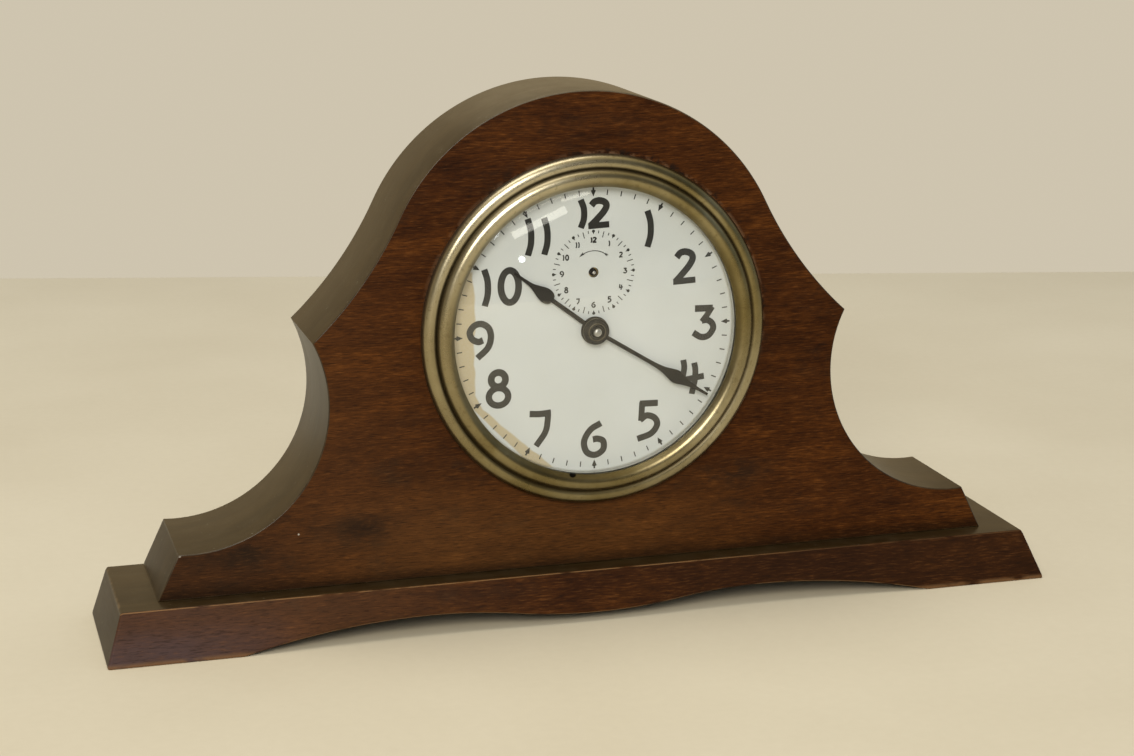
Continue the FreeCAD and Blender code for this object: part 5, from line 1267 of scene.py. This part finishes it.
make_case()
make_base()
make_bezel()
make_glass()
make_dial_print()
make_alarm_print()
make_hand("minute_hand_blade", MINUTE_HAND, boss=4.3, bore=2.0, turn=121.8, front=MINUTE_HAND_FRONT,
          body="hand_arbor", node="minute_hand")
make_hand("hour_hand_blade", HOUR_HAND, boss=4.95, bore=3.0, turn=307.4, front=HOUR_HAND_FRONT,
          body="hour_work", node="hour_hand")
make_hub()
make_alarm_tip()
make_screws("drum_screw_heads", "drum_screws", radius=1.8, height=1.4, seat=FLANGE_REAR,
            slot_width=0.55, slot_depth=0.6, places=on_circle(FLANGE_CIRCLE, (30, 150, 270), (20, 75, -35)))
make_screws("cover_screw_heads", "back_cover_screws", radius=2.2, height=1.5, seat=COVER_REAR,
            slot_width=0.6, slot_depth=0.65, places=on_circle(COVER_CIRCLE, (125, 215, 325), (10, -50, 64)))
make_back_relief()
make_knob("hand_set_knob", 5.2, 0.0, 40, "hand_arbor", "set_knob")
make_knob("alarm_hand_set_knob", 4.5, ALARM_UP, 36, "alarm_setting", "alarm_set_knob")

# the CAD nodes that show take a finish of their record slot
SLOT_FINISH = {
    "mahogany": SIDES, "nickel": NICKEL, "glass": GLASS, "dial_white": PAPER, "black_paint": LACQUER,
    "plated_steel": PLATED, "spring_steel": SPRING, "steel": STEEL, "brass": BRASS,
}
TURNED_PIECES = ("movement_drum", "back_cover", "dial_plate", "crystal_ring")
for entry in frame["record"]["subparts"]:
    name = entry["node"]
    node = frame["nodes"][name]
    finish = SLOT_FINISH[entry["material_slot"]]
    if finish is PLATED and name not in TURNED_PIECES:
        finish = KNOB_PLATED
    if name == "back_cover":
        finish = COVER_PLATED
    # painted shade: the alarm arbor is black lacquer, so that its hole in the dial reads dark
    if name == "alarm_arbor":
        finish = LACQUER
    node.data.materials.clear()
    node.data.materials.append(finish.material)


FLOOR_HALF = 3.0
FLOOR_FRONT = -1.5
FLOOR_BACK = 0.605
FLOOR_TURN = math.radians(-15.7)
WALL = (0.620, 0.555, 0.430)


def make_stage():
    """A pale floor that ends before and behind the clock, where the plain wall colour of the world begins."""
    f = Finish("pale_floor")
    cloud = f.noise(f.place(), 5.0, 3.0)
    fine = f.noise(f.place(), 240.0, 3.0)
    colour = f.ramp(cloud * 0.8 + fine * 0.2, (0.3, (0.598, 0.520, 0.368)), (0.7, (0.670, 0.592, 0.432)))
    f.coat(Base_Color=colour, Roughness=0.75 + fine * 0.1, Specular_IOR_Level=0.2)
    mesh = bpy.data.meshes.new("floor")
    turn = Matrix.Rotation(FLOOR_TURN, 3, "Z")
    outline = oblong(FLOOR_HALF, FLOOR_FRONT, FLOOR_BACK)
    mesh.from_pydata([turn @ Vector((*p, 0.0)) for p in outline], [], [(0, 1, 2, 3)])
    mesh.materials.append(f.material)
    floor = bpy.data.objects.new("floor", mesh)
    bpy.context.scene.collection.objects.link(floor)

    w = Finish("room", world=True)
    rays = w.node("LightPath", None, None, "Is Camera Ray").socket.node
    camera, glossy, clear = (Wire(w, rays.outputs[f"Is {kind} Ray"])
                             for kind in ("Camera", "Glossy", "Transmission"))
    x, y, z = w.parts(w.node("TexCoord", None, None, "Generated"))
    mirrored = w.mix(w.rise(y, -0.55, 0.25), (0.070, 0.064, 0.055), (0.500, 0.385, 0.215))
    low = (1.0 - w.rise(z, -0.10, 0.15)) * (1.0 - w.rise(y, -0.75, -0.30))
    mirrored = w.mix(low, mirrored, (0.570, 0.505, 0.385))
    mirrored = w.mix(w.rise(z, 0.55, 0.95) * 0.8, mirrored, (0.680, 0.580, 0.360))
    mirrored = w.mix(w.rise(x, 0.50, 0.85) * 0.6, mirrored, (0.36, 0.44, 0.54))
    mirrored = w.mix(w.rise(x * -1.0, 0.50, 0.90) * 0.5, mirrored, (0.30, 0.25, 0.16))
    mirrored = w.mix(camera.or_more(clear), mirrored, WALL)
    light = w.node("Background", None, {"Color": (0.88, 0.95, 1.04), "Strength": 0.50})
    seen = w.node("Background", None, {"Color": mirrored, "Strength": 1.0})
    share = camera.or_more(glossy).or_more(clear)
    w.close(w.node("MixShader", None, {0: share, 1: light, 2: seen}))
    bpy.context.scene.world = w.material


def make_lamp(name, place, target, size, watts, colour, size_y=None, roll=0.0):
    """An area lamp aimed at a target: a disc, or a rectangle rolled about its aim if it has a second size."""
    lamp = bpy.data.lights.new(name, "AREA")
    lamp.energy = watts
    lamp.color = colour
    lamp.size = size
    lamp.shape = "DISK"
    if size_y:
        lamp.shape = "RECTANGLE"
        lamp.size_y = size_y
    made = bpy.data.objects.new(name, lamp)
    made.location = place
    made.rotation_mode = "QUATERNION"
    aim = (Vector(target) - Vector(place)).to_track_quat("-Z", "Y")
    made.rotation_quaternion = aim @ Quaternion((0.0, 0.0, 1.0), math.radians(roll))
    made.visible_camera = False
    bpy.context.scene.collection.objects.link(made)
    return made


# the photograph's viewpoint, fitted to the clock's corners for a frame of 1134 by 756
FRAME_WIDTH = 1134.0
FOCAL_PIXELS = 2394.0
SENSOR_WIDTH = 36.0
CAMERA_PLACE = Vector((-226.43, -805.25, 277.55)) * MM
CAMERA_RIGHT = Vector((0.96239228, -0.27159811, -0.00596383))
CAMERA_UP = Vector((0.06834047, 0.22079681, 0.97292258))
CAMERA_FORWARD = Vector((0.26292714, 0.93674075, -0.23105429))


def make_camera():
    """Sets the camera at the photograph's viewpoint."""
    camera = bpy.data.cameras.new("photo_camera")
    camera.sensor_fit = "HORIZONTAL"
    camera.sensor_width = SENSOR_WIDTH
    camera.lens = FOCAL_PIXELS / FRAME_WIDTH * SENSOR_WIDTH
    axes = Matrix((CAMERA_RIGHT, CAMERA_UP, -CAMERA_FORWARD)).transposed()
    made = bpy.data.objects.new("photo_camera", camera)
    made.matrix_world = Matrix.Translation(CAMERA_PLACE) @ axes.to_4x4()
    bpy.context.scene.collection.objects.link(made)
    bpy.context.scene.camera = made


make_stage()
make_camera()
HEART = (0.0, 0.0, 0.09)
WARM_TUBE = (1.0, 0.97, 0.86)
make_lamp("key_lamp", (-0.75, -1.95, 1.25), HEART, 1.1, 36.0, (1.0, 0.95, 0.86))
make_lamp("top_lamp", (-0.3, 0.15, 2.0), HEART, 1.6, 17.0, (1.0, 0.94, 0.84))
make_lamp("star_lamp", (-0.064, -2.02, 0.307), (-0.024, -0.03, 0.129), 0.05, 0.08, (0.93, 0.96, 1.0))
make_lamp("tube_lamp", (0.09, -1.97, 0.583), (-0.018, -0.029, 0.141), 0.48, 0.26, WARM_TUBE,
          size_y=0.06, roll=22.0)
make_lamp("second_tube_lamp", (0.39, -1.89, 0.756), (-0.005, -0.028, 0.149), 0.24, 0.05, WARM_TUBE,
          size_y=0.025, roll=10.0)

bpy.context.scene.view_settings.view_transform = "Standard"
